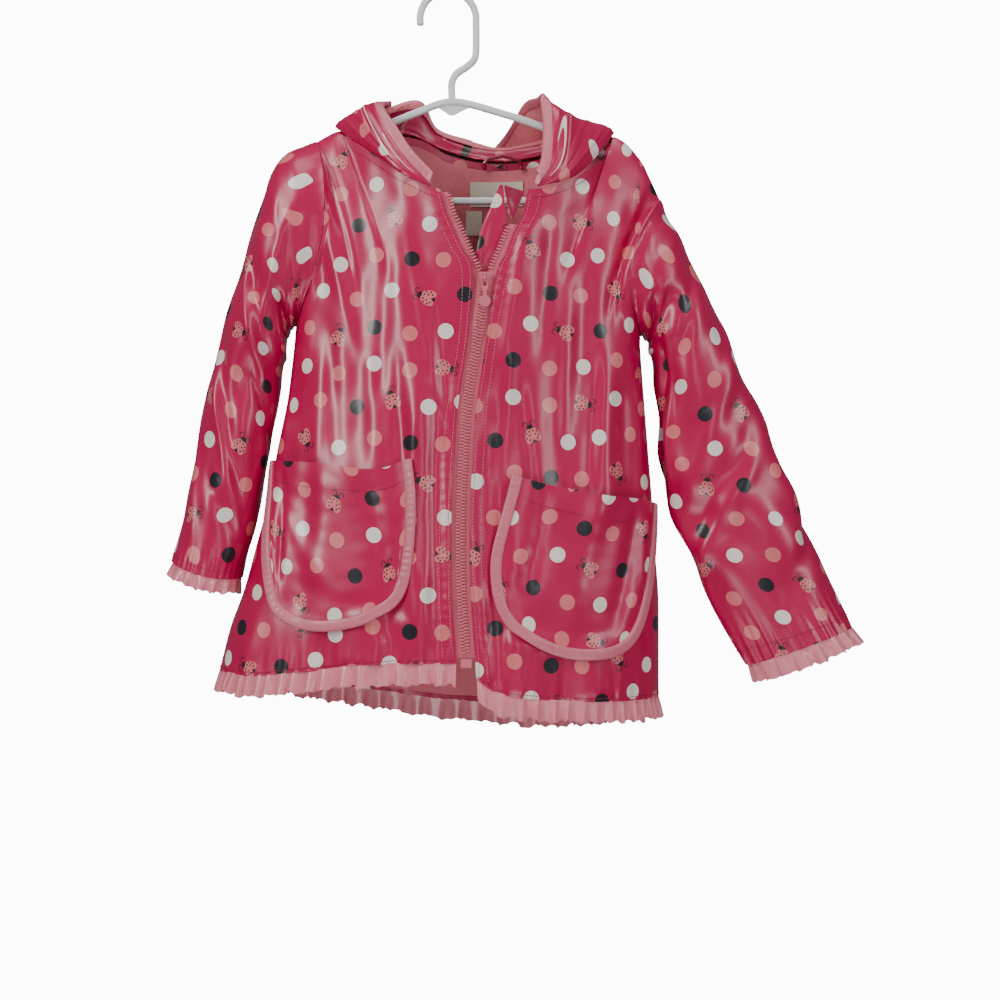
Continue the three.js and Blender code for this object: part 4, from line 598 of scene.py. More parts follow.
def zip_x(z: Array) -> Array:
    """x of the zip's middle at a height."""
    return ZIP_TABLE.at(z)[..., 1]


def armhole(side: str, degrees: Array, behind: bool) -> Array:
    """Point of an armhole, in degrees from its top."""
    h = ARMHOLE[side]
    c, s = np.cos(np.radians(degrees)), np.sin(np.radians(degrees))
    (tx, tz), (lx, lz) = h["top"], h["low"]
    x = (tx + lx) / 2 + (tx - lx) / 2 * c + h["bow"] * s * s
    y = h["behind"] * s + SEAM_GAP if behind else -h["front"] * s - SEAM_GAP
    return np.stack([x, y, (tz + lz) / 2 + (tz - lz) / 2 * c], axis=-1)


def up_to(points: Sequence, side: float) -> list:
    """An open front edge, carried down to the chest line."""
    z = np.asarray(CHEST_Z)
    return [*points, body_form(angle_of_x(zip_x(z) + side * ZIP_HALF, z), z, False)]


neck = {"right": Path(NECK_RIGHT), "left": Path(NECK_LEFT), "back": Path(NECK_BACK)}
shoulder = {"right": Path(SHOULDER_RIGHT), "left": Path(SHOULDER_LEFT)}
front_edge = {"right": Path(up_to(EDGE_RIGHT, -1)), "left": Path(up_to(EDGE_LEFT, 1))}


class Side(Enum):
    """The three panels of the body."""

    RIGHT = "right"
    LEFT = "left"
    BACK = "back"


@dataclass
class Panel:
    """One body panel: share s along its top edge, share v from the top edge to the hem."""

    side: Side
    marks: Sequence[float]
    fan: Table
    hem: Table
    folds: Sequence
    ridges: Sequence
    creases: Sequence = field(default_factory=list)

    @property
    def behind(self) -> bool:
        """Whether it is the back."""
        return self.side is Side.BACK

    def top(self, s: Array) -> Array:
        """Point of the top edge: neckline, shoulder, armhole."""
        m, y = self.marks, SEAM_GAP if self.behind else -SEAM_GAP
        gap = np.array([0, y, 0])
        if not self.behind:
            name = self.side.value
            parts = [neck[name].at(s / m[0]) + gap, shoulder[name].at((s - m[0]) / (m[1] - m[0])) + gap,
                     armhole(name, np.clip((s - m[1]) / (1 - m[1]), 0, 1) * 180, False)]
            return np.select([(s < m[0])[..., None], (s < m[1])[..., None]], parts[:2], parts[2])
        a, b, c, d = m
        parts = [armhole("right", 180 - np.clip(s / a, 0, 1) * 180, True),
                 shoulder["right"].at(1 - (s - a) / (b - a)) + gap, neck["back"].at((s - b) / (c - b)) + gap,
                 shoulder["left"].at((s - c) / (d - c)) + gap,
                 armhole("left", np.clip((s - d) / (1 - d), 0, 1) * 180, True)]
        return np.select([(s < k)[..., None] for k in m], parts[:4], parts[4])

    def angle(self, s: Array, z: Array) -> Array:
        """Angle round the body of the line s at a height."""
        share = lerp(self.fan.at(s)[..., 1], s, smooth((CHEST_Z - z) / 84))
        if self.behind:
            return lerp(-90.0, 90.0, share)
        way = -1 if self.side is Side.RIGHT else 1
        return lerp(angle_of_x(zip_x(z) + way * ZIP_HALF, z), way * 90.0, share)

    def share(self, angle: Array, z: Array) -> Array:
        """The share s at an angle and a height below the chest line."""
        way = -1 if self.side is Side.RIGHT else 1
        near = angle_of_x(zip_x(z) + way * ZIP_HALF, z)
        return (angle - near) / (way * 90 - near)

    def hem_z(self, s: Array) -> Array:
        """Height of the hem seam under the line s."""
        z = np.full(np.shape(s), -560.0)
        for _ in range(6):
            z = self.hem.at(body_form(self.angle(s, z), z, self.behind)[..., 0])[..., 1]
        return z

    def ridge(self, s: Array) -> Array:
        """Where the cloth goes round the shoulder rather than straight down."""
        return np.maximum.reduce([smooth((s - a) / b) * smooth((c - s) / d) for a, b, c, d in self.ridges])

    def pull_in(self, s: Array) -> Array:
        """How far a line that leans away under an armhole is pulled in."""
        def one(pull: float, top: float, low: float) -> Array:
            turn = (s - top) / (low - top) * 180
            return np.where(turn >= 0, pull * smooth((165 - turn) / 110), pull * smooth(1 - abs(s - top) / 0.06))
        m = self.marks
        if not self.behind:
            return one(PULL_RIGHT if self.side is Side.RIGHT else PULL_LEFT, m[1], 1)
        return np.where(s < 0.5, one(PULL_RIGHT, m[0], 0), one(PULL_LEFT, m[3], 1))

    def yoke(self, s: Array, t: Array, plain: bool = False) -> Array:
        """The part over the chest line, t from the top edge to that line."""
        out = 1 if self.behind else -1
        z = np.full(np.shape(s), CHEST_Z)
        top = self.top(s)
        chest = body_form(self.angle(s, z), z, self.behind)
        below = body_form(self.angle(s, z - 2), z - 2, self.behind)
        m1 = (below - chest) / 2 * (top[..., 2:] - CHEST_Z)
        chord = chest - top
        if plain:
            return hermite(top, chest, chord, m1, t[..., None])
        over = np.stack([chord[..., 0] * 0.2, np.full(np.shape(s), out * 34.0), np.full(np.shape(s), -12.0)], axis=-1)
        m0 = lerp(chord, over, self.ridge(s)[..., None])
        m0[..., 0] += self.pull_in(s)
        p = hermite(top, chest, m0, m1, t[..., None])
        if not self.behind:
            zero = np.zeros(np.shape(s))
            away = front_edge[self.side.value].at(t) - self.yoke(zero, t, plain=True)
            p = p + away * (np.clip(1 - s / 0.5, 0, 1) ** 2)[..., None]
        return p

    def point(self, s: Array, v: Array, fine: bool = False) -> Array:
        """Point of the outer face, with the small creases if `fine`."""
        s, v = np.broadcast_arrays(np.asarray(s, float), np.asarray(v, float))
        z = lerp(CHEST_Z, self.hem_z(s), np.clip((v - YOKE) / (1 - YOKE), 0, 1))
        low = body_form(self.angle(s, z), z, self.behind)
        p = np.where((v < YOKE)[..., None], self.yoke(s, np.clip(v / YOKE, 0, 1)), low)
        out = 1 if self.behind else -1
        if self.behind:
            side = smooth(s / 0.12) * smooth((1 - s) / 0.12)
        else:
            side = smooth((1 - s) / 0.16) * smooth(s / 0.05)
        high = line_fold(p[..., 0], p[..., 2], self.folds) * side * smooth(v / 0.12)
        if fine:
            high = high + self.detail(s, v, p)
        p = p.copy()
        p[..., 1] += out * high
        return p

    def detail(self, s: Array, v: Array, p: Array) -> Array:
        """Creases, puckers and gathers too small for the solids, in millimetres."""
        x, z = p[..., 0], p[..., 2]
        rim = smooth((1 - s) / 0.07) * smooth(v / 0.05)
        if self.behind:
            rim = rim * smooth(s / 0.07)
        soft = 0.9 * ripple(x * 1.8, z * 0.35, 56, 11) + 0.16 * ripple(x * 1.4, z * 0.6, 24, 12)
        high = soft * rim + line_fold(x, z, self.creases) * rim
        hem = 1 - v
        gather = np.sin(2 * math.pi * (x / 9.5) + 1.6 * ripple(x, z * 0.3, 60, 5)) * (0.7 + 0.5 * ripple(x, z, 50, 6))
        high = high + 0.85 * gather * np.exp(-((hem * 430 / 15) ** 2)) * smooth(hem * 430 / 2)
        if not self.behind:
            far = s * 230
            pucker = np.sin(2 * math.pi * z / 8.5 + 1.8 * ripple(x, z, 40, 7)) * (0.6 + 0.6 * ripple(x, z, 70, 8))
            high = high + 0.2 * pucker * np.exp(-(((far - 6) / 6) ** 2)) * smooth(v / 0.1)
        return high

    def normal(self, s: Array, v: Array) -> Array:
        """Outward normal of the smooth face."""
        e = 0.004
        s, v = np.broadcast_arrays(np.asarray(s, float), np.asarray(v, float))
        du = self.point(np.minimum(1, s + e), v) - self.point(np.maximum(0, s - e), v)
        dv = self.point(s, np.minimum(1, v + e)) - self.point(s, np.maximum(0, v - e))
        n = unit(np.cross(du, dv))
        z = np.full(np.shape(s), CHEST_Z)
        lean = np.where(self.angle(s, z) < 0, -0.4, 0.4)
        ref = np.stack([lean, np.full(np.shape(s), 1.0 if self.behind else -1.0), np.full(np.shape(s), 0.3)], axis=-1)
        return np.where((np.sum(n * ref, axis=-1) < 0)[..., None], -n, n)

    def lift(self, s: Array, v: Array, h: Array, fine: bool = False) -> Array:
        """Point h outside the face."""
        h = np.asarray(h, float)
        return self.point(s, v, fine) + self.normal(s, v) * (h[..., None] if h.ndim else h)

    def height_share(self, s: Array, z: Array) -> Array:
        """The share v at which the line s reaches height z."""
        s, z = np.broadcast_arrays(np.asarray(s, float), np.asarray(z, float))
        lo, hi = np.zeros(s.shape), np.ones(s.shape)
        for _ in range(20):
            mid = (lo + hi) / 2
            above = self.point(s, mid)[..., 2] > z
            lo, hi = np.where(above, mid, lo), np.where(above, hi, mid)
        return (lo + hi) / 2


PANELS = {
    Side.RIGHT: Panel(Side.RIGHT, [0.4, 0.47], Table(FAN_RIGHT), Table(HEM_RIGHT), FOLDS_RIGHT,
                      [(0.33, 0.07, 0.54, 0.07)], CREASES_RIGHT),
    Side.LEFT: Panel(Side.LEFT, [0.34, 0.52], Table(FAN_LEFT), Table(HEM_LEFT), FOLDS_LEFT,
                     [(0.27, 0.07, 0.6, 0.08)], CREASES_LEFT),
    Side.BACK: Panel(Side.BACK, [0.25, 0.29, 0.64, 0.76], Table(FAN_BACK), Table(HEM_BACK), FOLDS_BACK,
                     [(0.21, 0.04, 0.34, 0.05), (0.6, 0.04, 0.81, 0.05)], CREASES_BACK),
}
RIGHT, LEFT, BACK = PANELS[Side.RIGHT], PANELS[Side.LEFT], PANELS[Side.BACK]


# Sleeves, hood, pockets and zip lines

@dataclass(frozen=True)
class Sleeve:
    """One sleeve: stations along it, folds round it, ruffle at its cuff."""

    side: str
    table: Sequence
    folds: Sequence
    creases: Sequence
    ruffle: tuple

    def centre(self, t: Array) -> Array:
        """Middle of the ring at t."""
        r = through(self.table, t)
        return np.stack([(r[..., 0] + r[..., 2]) / 2, r[..., 4], (r[..., 1] + r[..., 3]) / 2], axis=-1)

    def point(self, t: Array, degrees: Array, fine: bool = False) -> Array:
        """Point of the outer face, t along the sleeve, degrees from the outer line over the front."""
        t, degrees = np.broadcast_arrays(np.asarray(t, float), np.asarray(degrees, float))
        row = through(self.table, t)
        ox, oz, ix, iz, y, depth, bow = (row[..., k] for k in range(7))
        c, s = np.cos(np.radians(degrees)), np.sin(np.radians(degrees))
        hx, hz = (ox - ix) / 2, (oz - iz) / 2
        back = np.where(degrees > 180, 0.9, 1.0)
        radius = np.ones(t.shape)
        for ft, fa, wt, wa, h in self.folds:
            da = (degrees - fa + 540) % 360 - 180
            ends = smooth(t / 0.12) * smooth((1 - t) / 0.08)
            radius = radius + h / depth * np.exp(-(((t - ft + da * 0.0007) / wt) ** 2) - (da / wa) ** 2) * ends
        if fine:
            radius = radius + self.detail(t, degrees) / depth
        length = np.hypot(hx, hz)
        px, pz = np.abs(hz / length), np.abs(hx / length)
        b = np.abs(bow) * s * s
        sign = -1 if self.side == "right" else 1
        x = (ox + ix) / 2 + hx * c * radius - sign * b * px
        yy = y * smooth(t / 0.1) - depth * back * s * radius
        z = (oz + iz) / 2 + hz * c * radius - b * pz * smooth((t - 0.85) / 0.15)
        p = np.stack([x, yy, z], axis=-1)
        turn = np.where(degrees <= 180, degrees, 360 - degrees)
        seam = np.where((degrees > 180)[..., None], armhole(self.side, turn, True), armhole(self.side, turn, False))
        seam = seam + np.array([sign * 0.6, 0, 0])
        return lerp(seam, p, smooth(t / 0.05)[..., None])

    def detail(self, t: Array, degrees: Array) -> Array:
        """Creases too small for the solid, in millimetres."""
        along = t * 320
        around = (degrees - 90 + 180) % 360 - 180
        rim = smooth(t / 0.04)
        high = 1.0 * ripple(along * 0.9 + around * 0.25, around * 0.7, 48, 21 if self.side == "right" else 31) * rim
        high = high + 0.14 * ripple(along * 1.1, around * 0.8, 22, 22) * rim
        high = high + line_fold(around, along, self.creases) * rim
        cap = np.sin(2 * math.pi * degrees / 11 + 2 * ripple(degrees, t, 60, 3)) * np.exp(-((along / 12) ** 2)) * rim
        cuff = np.sin(2 * math.pi * degrees / 13 + 1.5 * ripple(degrees, t, 50, 4))
        return high + 0.45 * cap + 0.6 * cuff * np.exp(-(((1 - t) * 320 / 11) ** 2))


SLEEVES = {
    "right": Sleeve("right", SLEEVE_RIGHT, SLEEVE_FOLDS_RIGHT, SLEEVE_CREASES_RIGHT, (12, 16, 2.6, 3)),
    "left": Sleeve("left", SLEEVE_LEFT, SLEEVE_FOLDS_LEFT, SLEEVE_CREASES_LEFT, (16, 18, 2.8, 5)),
}


@dataclass(frozen=True)
class Hood:
    """One half of the fallen hood: u along the neck seam to the middle, v from seam to face edge."""

    side: str
    stations: Sequence

    def point(self, u: Array, v: Array, fine: bool = False) -> Array:
        """Grid of the outer face for the shares u and v, each a list of numbers."""
        seam = []
        for st in self.stations:
            where, t = st["seam"]
            path = neck["back" if where == "back" else self.side]
            seam.append(path.at(t) + np.array([0, 0, 2.0]))
        rows = np.array([seam, *[[st[name] for st in self.stations] for name in HOOD_ROWS]], float)
        lines = np.stack([through(row, u) for row in rows])
        pts = np.swapaxes(through(lines, v), 0, 1)
        if fine:
            uu, vv = np.meshgrid(u, v, indexing="ij")
            n = self.inward(pts)
            bump = 0.7 * ripple(uu * 190, vv * 210, 50, 41) + 0.14 * ripple(uu * 190, vv * 210, 20, 42)
            seam_pucker = 0.5 * np.sin(uu * 150) * np.exp(-((vv / 0.05) ** 2))
            room = smooth(vv / 0.06) * smooth((1 - vv) / 0.05) * smooth(uu / 0.1)
            pts = pts - n * ((bump + seam_pucker) * room)[..., None]
        return pts

    def inward(self, pts: Array) -> Array:
        """Normals towards the lining."""
        du, dv = np.gradient(pts, axis=0), np.gradient(pts, axis=1)
        n = unit(np.cross(du, dv))
        return n if self.side == "right" else -n


HOODS = {"right": Hood("right", HOOD_RIGHT), "left": Hood("left", HOOD_LEFT)}


@dataclass(frozen=True)
class Pocket:
    """A patch pocket: its outline round the front, in degrees round the body and height."""

    panel: Panel
    outline: Path
    top: Path

    def point(self, a: Array, z: Array, h: Array, fine: bool = False) -> Array:
        """Point h over the front's face at an angle and a height."""
        s = self.panel.share(a, z)
        v = YOKE + (1 - YOKE) * (CHEST_Z - z) / (CHEST_Z - self.panel.hem_z(s))
        return self.panel.lift(s, v, h, fine)

    def patch(self, across: Array, down: Array) -> tuple[Array, Array]:
        """Angle and height for shares across and down the patch."""
        q0, q1 = 0.34, 0.66
        left, right = self.outline.at(q0 * down), self.outline.at(lerp(1.0, q1, down))
        upper, lower = self.top.at(across), self.outline.at(lerp(q0, q1, across))
        c = lerp(self.outline.at(0), self.outline.at(1), across[..., None])
        d = lerp(self.outline.at(q0), self.outline.at(q1), across[..., None])
        a3, d3 = across[..., None], down[..., None]
        p = lerp(left, right, a3) + lerp(upper, lower, d3) - lerp(c, d, d3)
        return p[..., 0], p[..., 1]

    def rim(self, q: Array, far: Array) -> tuple[Array, Array]:
        """Angle and height `far` millimetres outside the outline at share q."""
        middle = (self.outline.at(0) + self.outline.at(1)) / 4 + self.outline.at(0.5) / 2
        p = self.outline.at(q)
        a, z = p[..., 0], p[..., 1]
        mm = np.linalg.norm(body_form(a + 0.5, z, False) - body_form(a - 0.5, z, False), axis=-1)
        along = self.outline.at(q + 0.01) - self.outline.at(q - 0.01)
        ta, tz = along[..., 0] * mm, along[..., 1]
        length = np.hypot(ta, tz)
        na, nz = tz / length, -ta / length
        flip = np.where(na * (a - middle[0]) * mm + nz * (z - middle[1]) < 0, -1.0, 1.0)
        return np.clip(a + na * flip * far / mm, -88.5, 88.5), z + nz * flip * far


POCKETS = {
    "right": Pocket(RIGHT, Path(POCKET_RIGHT["outline"]), Path(POCKET_RIGHT["top"])),
    "left": Pocket(LEFT, Path(POCKET_LEFT["outline"]), Path(POCKET_LEFT["top"])),
}


def teeth_x(side: str, z: Array) -> Array:
    """x of the line where a tape's teeth stand."""
    table = Table(TEETH_RIGHT if side == "right" else TEETH_LEFT)
    shut = zip_x(z) + (-0.4 if side == "right" else 0.4)
    return np.where(z > -240.0, table.at(z)[..., 1], shut)


def tape_point(side: str, a: Array, z: Array) -> Array:
    """Point of a zip tape: a is 0 at the teeth, 0.5 at the front's edge, 1 under the front."""
    panel = RIGHT if side == "right" else LEFT
    depth = WALL + SEAM_GAP + 0.9
    a, z = np.broadcast_arrays(np.asarray(a, float), np.asarray(z, float))
    zero = np.zeros(a.shape)
    edge = panel.lift(zero, panel.height_share(zero, z), -depth)
    s = np.clip(a - 0.5, 0, 1) * 0.045
    under = panel.lift(s, panel.height_share(s, z), -depth)
    x = teeth_x(side, z)
    low = body_form(angle_of_x(x, z), np.minimum(z, CHEST_Z), False)[..., 1] + depth
    y = lerp(edge[..., 1], np.minimum(edge[..., 1], low), smooth((-236 - z) / 40))
    near = lerp(np.stack([x, y, z], axis=-1), edge, np.clip(a * 2, 0, 1)[..., None])
    return np.where((a > 0.5)[..., None], under, near)


# Meshes

class Cloth:
    """Makes mesh objects from points in millimetres."""

    @staticmethod
    def add(name: str, points: Array, faces: Array, material: bpy.types.Material, uv: Optional[Array] = None,
            crease: float = 50.0) -> bpy.types.Object:
        """Add a mesh object.

        Args:
            name: Its name.
            points: Vertices in millimetres.
            faces: Rows of 3 or 4 vertex numbers.
            material: Its material.
            uv: Place in the cut cloth of each vertex, in millimetres.
            crease: Angle in degrees over which an edge stays sharp.

        Returns:
            The new object.
        """
        mesh = bpy.data.meshes.new(name)
        mesh.from_pydata((np.asarray(points) / 1000).tolist(), [], [list(map(int, f)) for f in faces])
        if uv is not None:
            layer = mesh.uv_layers.new(name="cut")
            loops = np.empty(len(mesh.loops), dtype=np.int32)
            mesh.loops.foreach_get("vertex_index", loops)
            layer.data.foreach_set("uv", (np.asarray(uv)[loops] / 1000).ravel().astype(np.float32))
        mesh.materials.append(material)
        mesh.polygons.foreach_set("use_smooth", np.ones(len(mesh.polygons), dtype=bool))
        mesh.set_sharp_from_angle(angle=math.radians(crease))
        mesh.validate()
        obj = bpy.data.objects.new(name, mesh)
        bpy.context.scene.collection.objects.link(obj)
        return obj

    @staticmethod
    def shell_faces(n: int, m: int, ring: bool) -> Array:
        """Faces of a closed shell over two n by m grids, the outer first."""
        def ids(i: Array, j: Array, side: int) -> Array:
            return (i % n) * m + j + side * n * m
        last = n if ring else n - 1
        i, j = (g.ravel() for g in np.meshgrid(np.arange(last), np.arange(m - 1), indexing="ij"))
        outer = np.stack([ids(i, j, 0), ids(i + 1, j, 0), ids(i + 1, j + 1, 0), ids(i, j + 1, 0)], axis=1)
        inner = np.stack([ids(i, j, 1), ids(i, j + 1, 1), ids(i + 1, j + 1, 1), ids(i + 1, j, 1)], axis=1)
        k = np.arange(last)
        z, e = np.zeros_like(k), np.full_like(k, m - 1)
        rims = [np.stack([ids(k, z, 0), ids(k, z, 1), ids(k + 1, z, 1), ids(k + 1, z, 0)], axis=1),
                np.stack([ids(k, e, 0), ids(k + 1, e, 0), ids(k + 1, e, 1), ids(k, e, 1)], axis=1)]
        if not ring:
            k = np.arange(m - 1)
            a, b = np.zeros_like(k), np.full_like(k, n - 1)
            rims += [np.stack([ids(a, k, 0), ids(a, k + 1, 0), ids(a, k + 1, 1), ids(a, k, 1)], axis=1),
                     np.stack([ids(b, k, 0), ids(b, k, 1), ids(b, k + 1, 1), ids(b, k + 1, 0)], axis=1)]
        return np.concatenate([outer, inner, *rims])

    @classmethod
    def shell(cls, name: str, pts: Array, thick: float, out: Sequence[float], material: bpy.types.Material,
              uv: Optional[Array] = None, ring: bool = False) -> bpy.types.Object:
        """A thin closed shell from a grid of outer points, thick inwards."""
        n, m = pts.shape[:2]
        inner = pts - grid_normals(pts, out, ring) * thick
        faces = cls.shell_faces(n, m, ring)
        both = np.concatenate([pts.reshape(-1, 3), inner.reshape(-1, 3)])
        quad = both[faces[: (n if ring else n - 1) * (m - 1)]]
        area = np.cross(quad[:, 2] - quad[:, 0], quad[:, 3] - quad[:, 1])
        way = grid_normals(pts, out, ring)[: (n if ring else n - 1), : m - 1].reshape(-1, 3)
        if float(np.sum(area * way)) < 0:
            faces = faces[:, ::-1]
        if uv is not None:
            uv = np.concatenate([uv.reshape(-1, 2)] * 2)
        return cls.add(name, both, faces, material, uv)

    @classmethod
    def band(cls, name: str, line: Array, across: Array, normal: Array, width: float, thick: float,
             material: bpy.types.Material, ring: bool = False, sides: int = 14, pucker: float = 0.0,
             stretch: float = 1.0) -> bpy.types.Object:
        """A rounded flat band along a line.

        Args:
            name: Its name.
            line: Points of its middle line.
            across: Direction of its width at each point.
            normal: Direction of its thickness at each point.
            width: Full width.
            thick: Full thickness.
            material: Its material.
            ring: Whether it closes on itself.
            sides: Points round its section.
            pucker: Height of the small gathers along it.
            stretch: Share of the texture's length.

        Returns:
            The new object.
        """
        across, normal = unit(across), unit(normal)
        a = np.linspace(0, 2 * math.pi, sides, endpoint=False)
        cx = np.sign(np.cos(a)) * np.abs(np.cos(a)) ** 0.55 * width / 2
        cy = np.sign(np.sin(a)) * np.abs(np.sin(a)) ** 0.8 * thick / 2
        step = np.concatenate([[0], np.cumsum(np.linalg.norm(np.diff(line, axis=0), axis=1))])
        wave = 1 + pucker / (thick / 2) * (np.sin(step * 2 * math.pi / 5.2 + 1.5 * ripple(step, step * 0, 30, 9))
                                           * (0.6 + 0.5 * ripple(step, step * 0, 22, 10)))
        pts = (line[:, None] + across[:, None] * cx[None, :, None]
               + normal[:, None] * (cy[None, :, None] * wave[:, None, None]))
        n = len(line)
        i, k = (g.ravel() for g in np.meshgrid(np.arange(n if ring else n - 1), np.arange(sides), indexing="ij"))
        k1, i1 = (k + 1) % sides, (i + 1) % n
        faces = np.stack([i * sides + k, i1 * sides + k, i1 * sides + k1, i * sides + k1], axis=1).tolist()
        if not ring:
            faces += [list(range(sides)), list(range(n * sides - 1, (n - 1) * sides - 1, -1))]
        centre = line[n // 2]
        quad = pts.reshape(-1, 3)[np.array(faces[(n // 2) * sides])]
        if float(np.dot(np.cross(quad[1] - quad[0], quad[2] - quad[0]), quad.mean(axis=0) - centre)) < 0:
            faces = [f[::-1] for f in faces]
        uv = np.stack(np.broadcast_arrays(step[:, None] * stretch, (a / (2 * math.pi) * width * 2)[None, :]), axis=-1)
        return cls.add(name, pts.reshape(-1, 3), faces, material, uv.reshape(-1, 2))


class Capsules:
    """Many small rounded bars in one mesh: stitches and teeth."""

    def __init__(self, sides: int = 6) -> None:
        self.sides = sides
        self.points: list[Array] = []
        self.faces: list[Array] = []
        self.count = 0

    def add(self, centre: Array, along: Array, normal: Array, length: float, width: float, height: float) -> None:
        """Add bars.

        Args:
            centre: Their middles, one row each.
            along: Their directions.
            normal: Their upward directions.
            length: Length along.
            width: Width across.
            height: Thickness along the normal.
        """
        along, normal = unit(along), unit(normal)
        across = unit(np.cross(along, normal))
        a = np.linspace(0, 2 * math.pi, self.sides, endpoint=False)
        ring = [(-0.5, 0.35), (-0.36, 0.85), (0.0, 1.0), (0.36, 0.85), (0.5, 0.35)]
        shape = np.array([[k * length, r * width / 2 * math.cos(b), r * height / 2 * math.sin(b)]
                          for k, r in ring for b in a])
        pts = (centre[:, None] + along[:, None] * shape[None, :, :1] + across[:, None] * shape[None, :, 1:2]
               + normal[:, None] * shape[None, :, 2:])
        s, rows = self.sides, len(ring)
        quads = [[i * s + k, i * s + (k + 1) % s, (i + 1) * s + (k + 1) % s, (i + 1) * s + k]
                 for i in range(rows - 1) for k in range(s)]
        base = np.arange(len(centre))[:, None, None] * (rows * s) + self.count
        self.faces += (np.array(quads)[None] + base).reshape(-1, 4).tolist()
        caps = np.array([list(range(s - 1, -1, -1)), list(range((rows - 1) * s, rows * s))])
        self.faces += (caps[None] + base).reshape(-1, s).tolist()
        self.points.append(pts.reshape(-1, 3))
        self.count += pts.shape[0] * pts.shape[1]

    def run(self, line: Array, normal: Array, pitch: float = 3.0, length: float = 2.1, width: float = 0.7,
            height: float = 0.6) -> None:
        """Add stitches along a line."""
        step = np.concatenate([[0], np.cumsum(np.linalg.norm(np.diff(line, axis=0), axis=1))])
        at = np.arange(pitch / 2, step[-1], pitch)
        centre = np.stack([np.interp(at, step, p) for p in line.T], axis=-1)
        ahead = np.stack([np.interp(at + 0.5, step, p) for p in line.T], axis=-1)
        behind = np.stack([np.interp(at - 0.5, step, p) for p in line.T], axis=-1)
        up = np.stack([np.interp(at, step, p) for p in normal.T], axis=-1)
        self.add(centre, ahead - behind, up, length, width, height)

    def make(self, name: str, material: bpy.types.Material) -> bpy.types.Object:
        """Make the mesh object."""
        return Cloth.add(name, np.concatenate(self.points), self.faces, material, crease=80)


# Materials

@dataclass(frozen=True)
class Finish:
    """Looks of one plain material."""

    name: str
    colour: tuple
    roughness: float
    grain: float = 0.0
    grain_size: float = 600.0
    coat: float = 0.0
    sheen: float = 0.0
    weave: bool = False
    glow: float = 0.0


HOT_PINK = (0.480, 0.0, 0.070)
SALMON = (0.700, 0.155, 0.165)
OFF_WHITE = (0.780, 0.720, 0.660)
INK = (0.010, 0.011, 0.016)

# The print's own repeat: 146 by 146 mm, charted
PRINT_REPEAT = 146.0
PRINT = [
    # x, y, motif, turn
    (11, 13, "white", 0), (41, 19, "salmon", 0), (69, 10, "ladybird", 25), (100, 17, "black", 0),
    (129, 11, "salmon", 0), (26, 42, "black", 0), (55, 48, "white", 0), (85, 40, "salmon", 0),
    (114, 46, "white", 0), (142, 40, "ladybird", -70), (9, 70, "salmon", 0), (40, 76, "ladybird", 150),
    (71, 68, "white", 0), (101, 75, "salmon", 0), (130, 71, "black", 0), (24, 103, "white", 0),
    (54, 106, "salmon", 0), (86, 100, "black", 0), (115, 105, "ladybird", -20), (144, 99, "white", 0),
    (10, 130, "ladybird", 100), (39, 134, "white", 0), (70, 127, "salmon", 0), (100, 134, "white", 0),
    (129, 128, "salmon", 0),
]
DOT_RADIUS = 6.2
SPECKS = [(1.6, 2.6), (4.1, 1.5), (2.3, -0.5), (4.9, -1.9), (3.2, -3.9)]


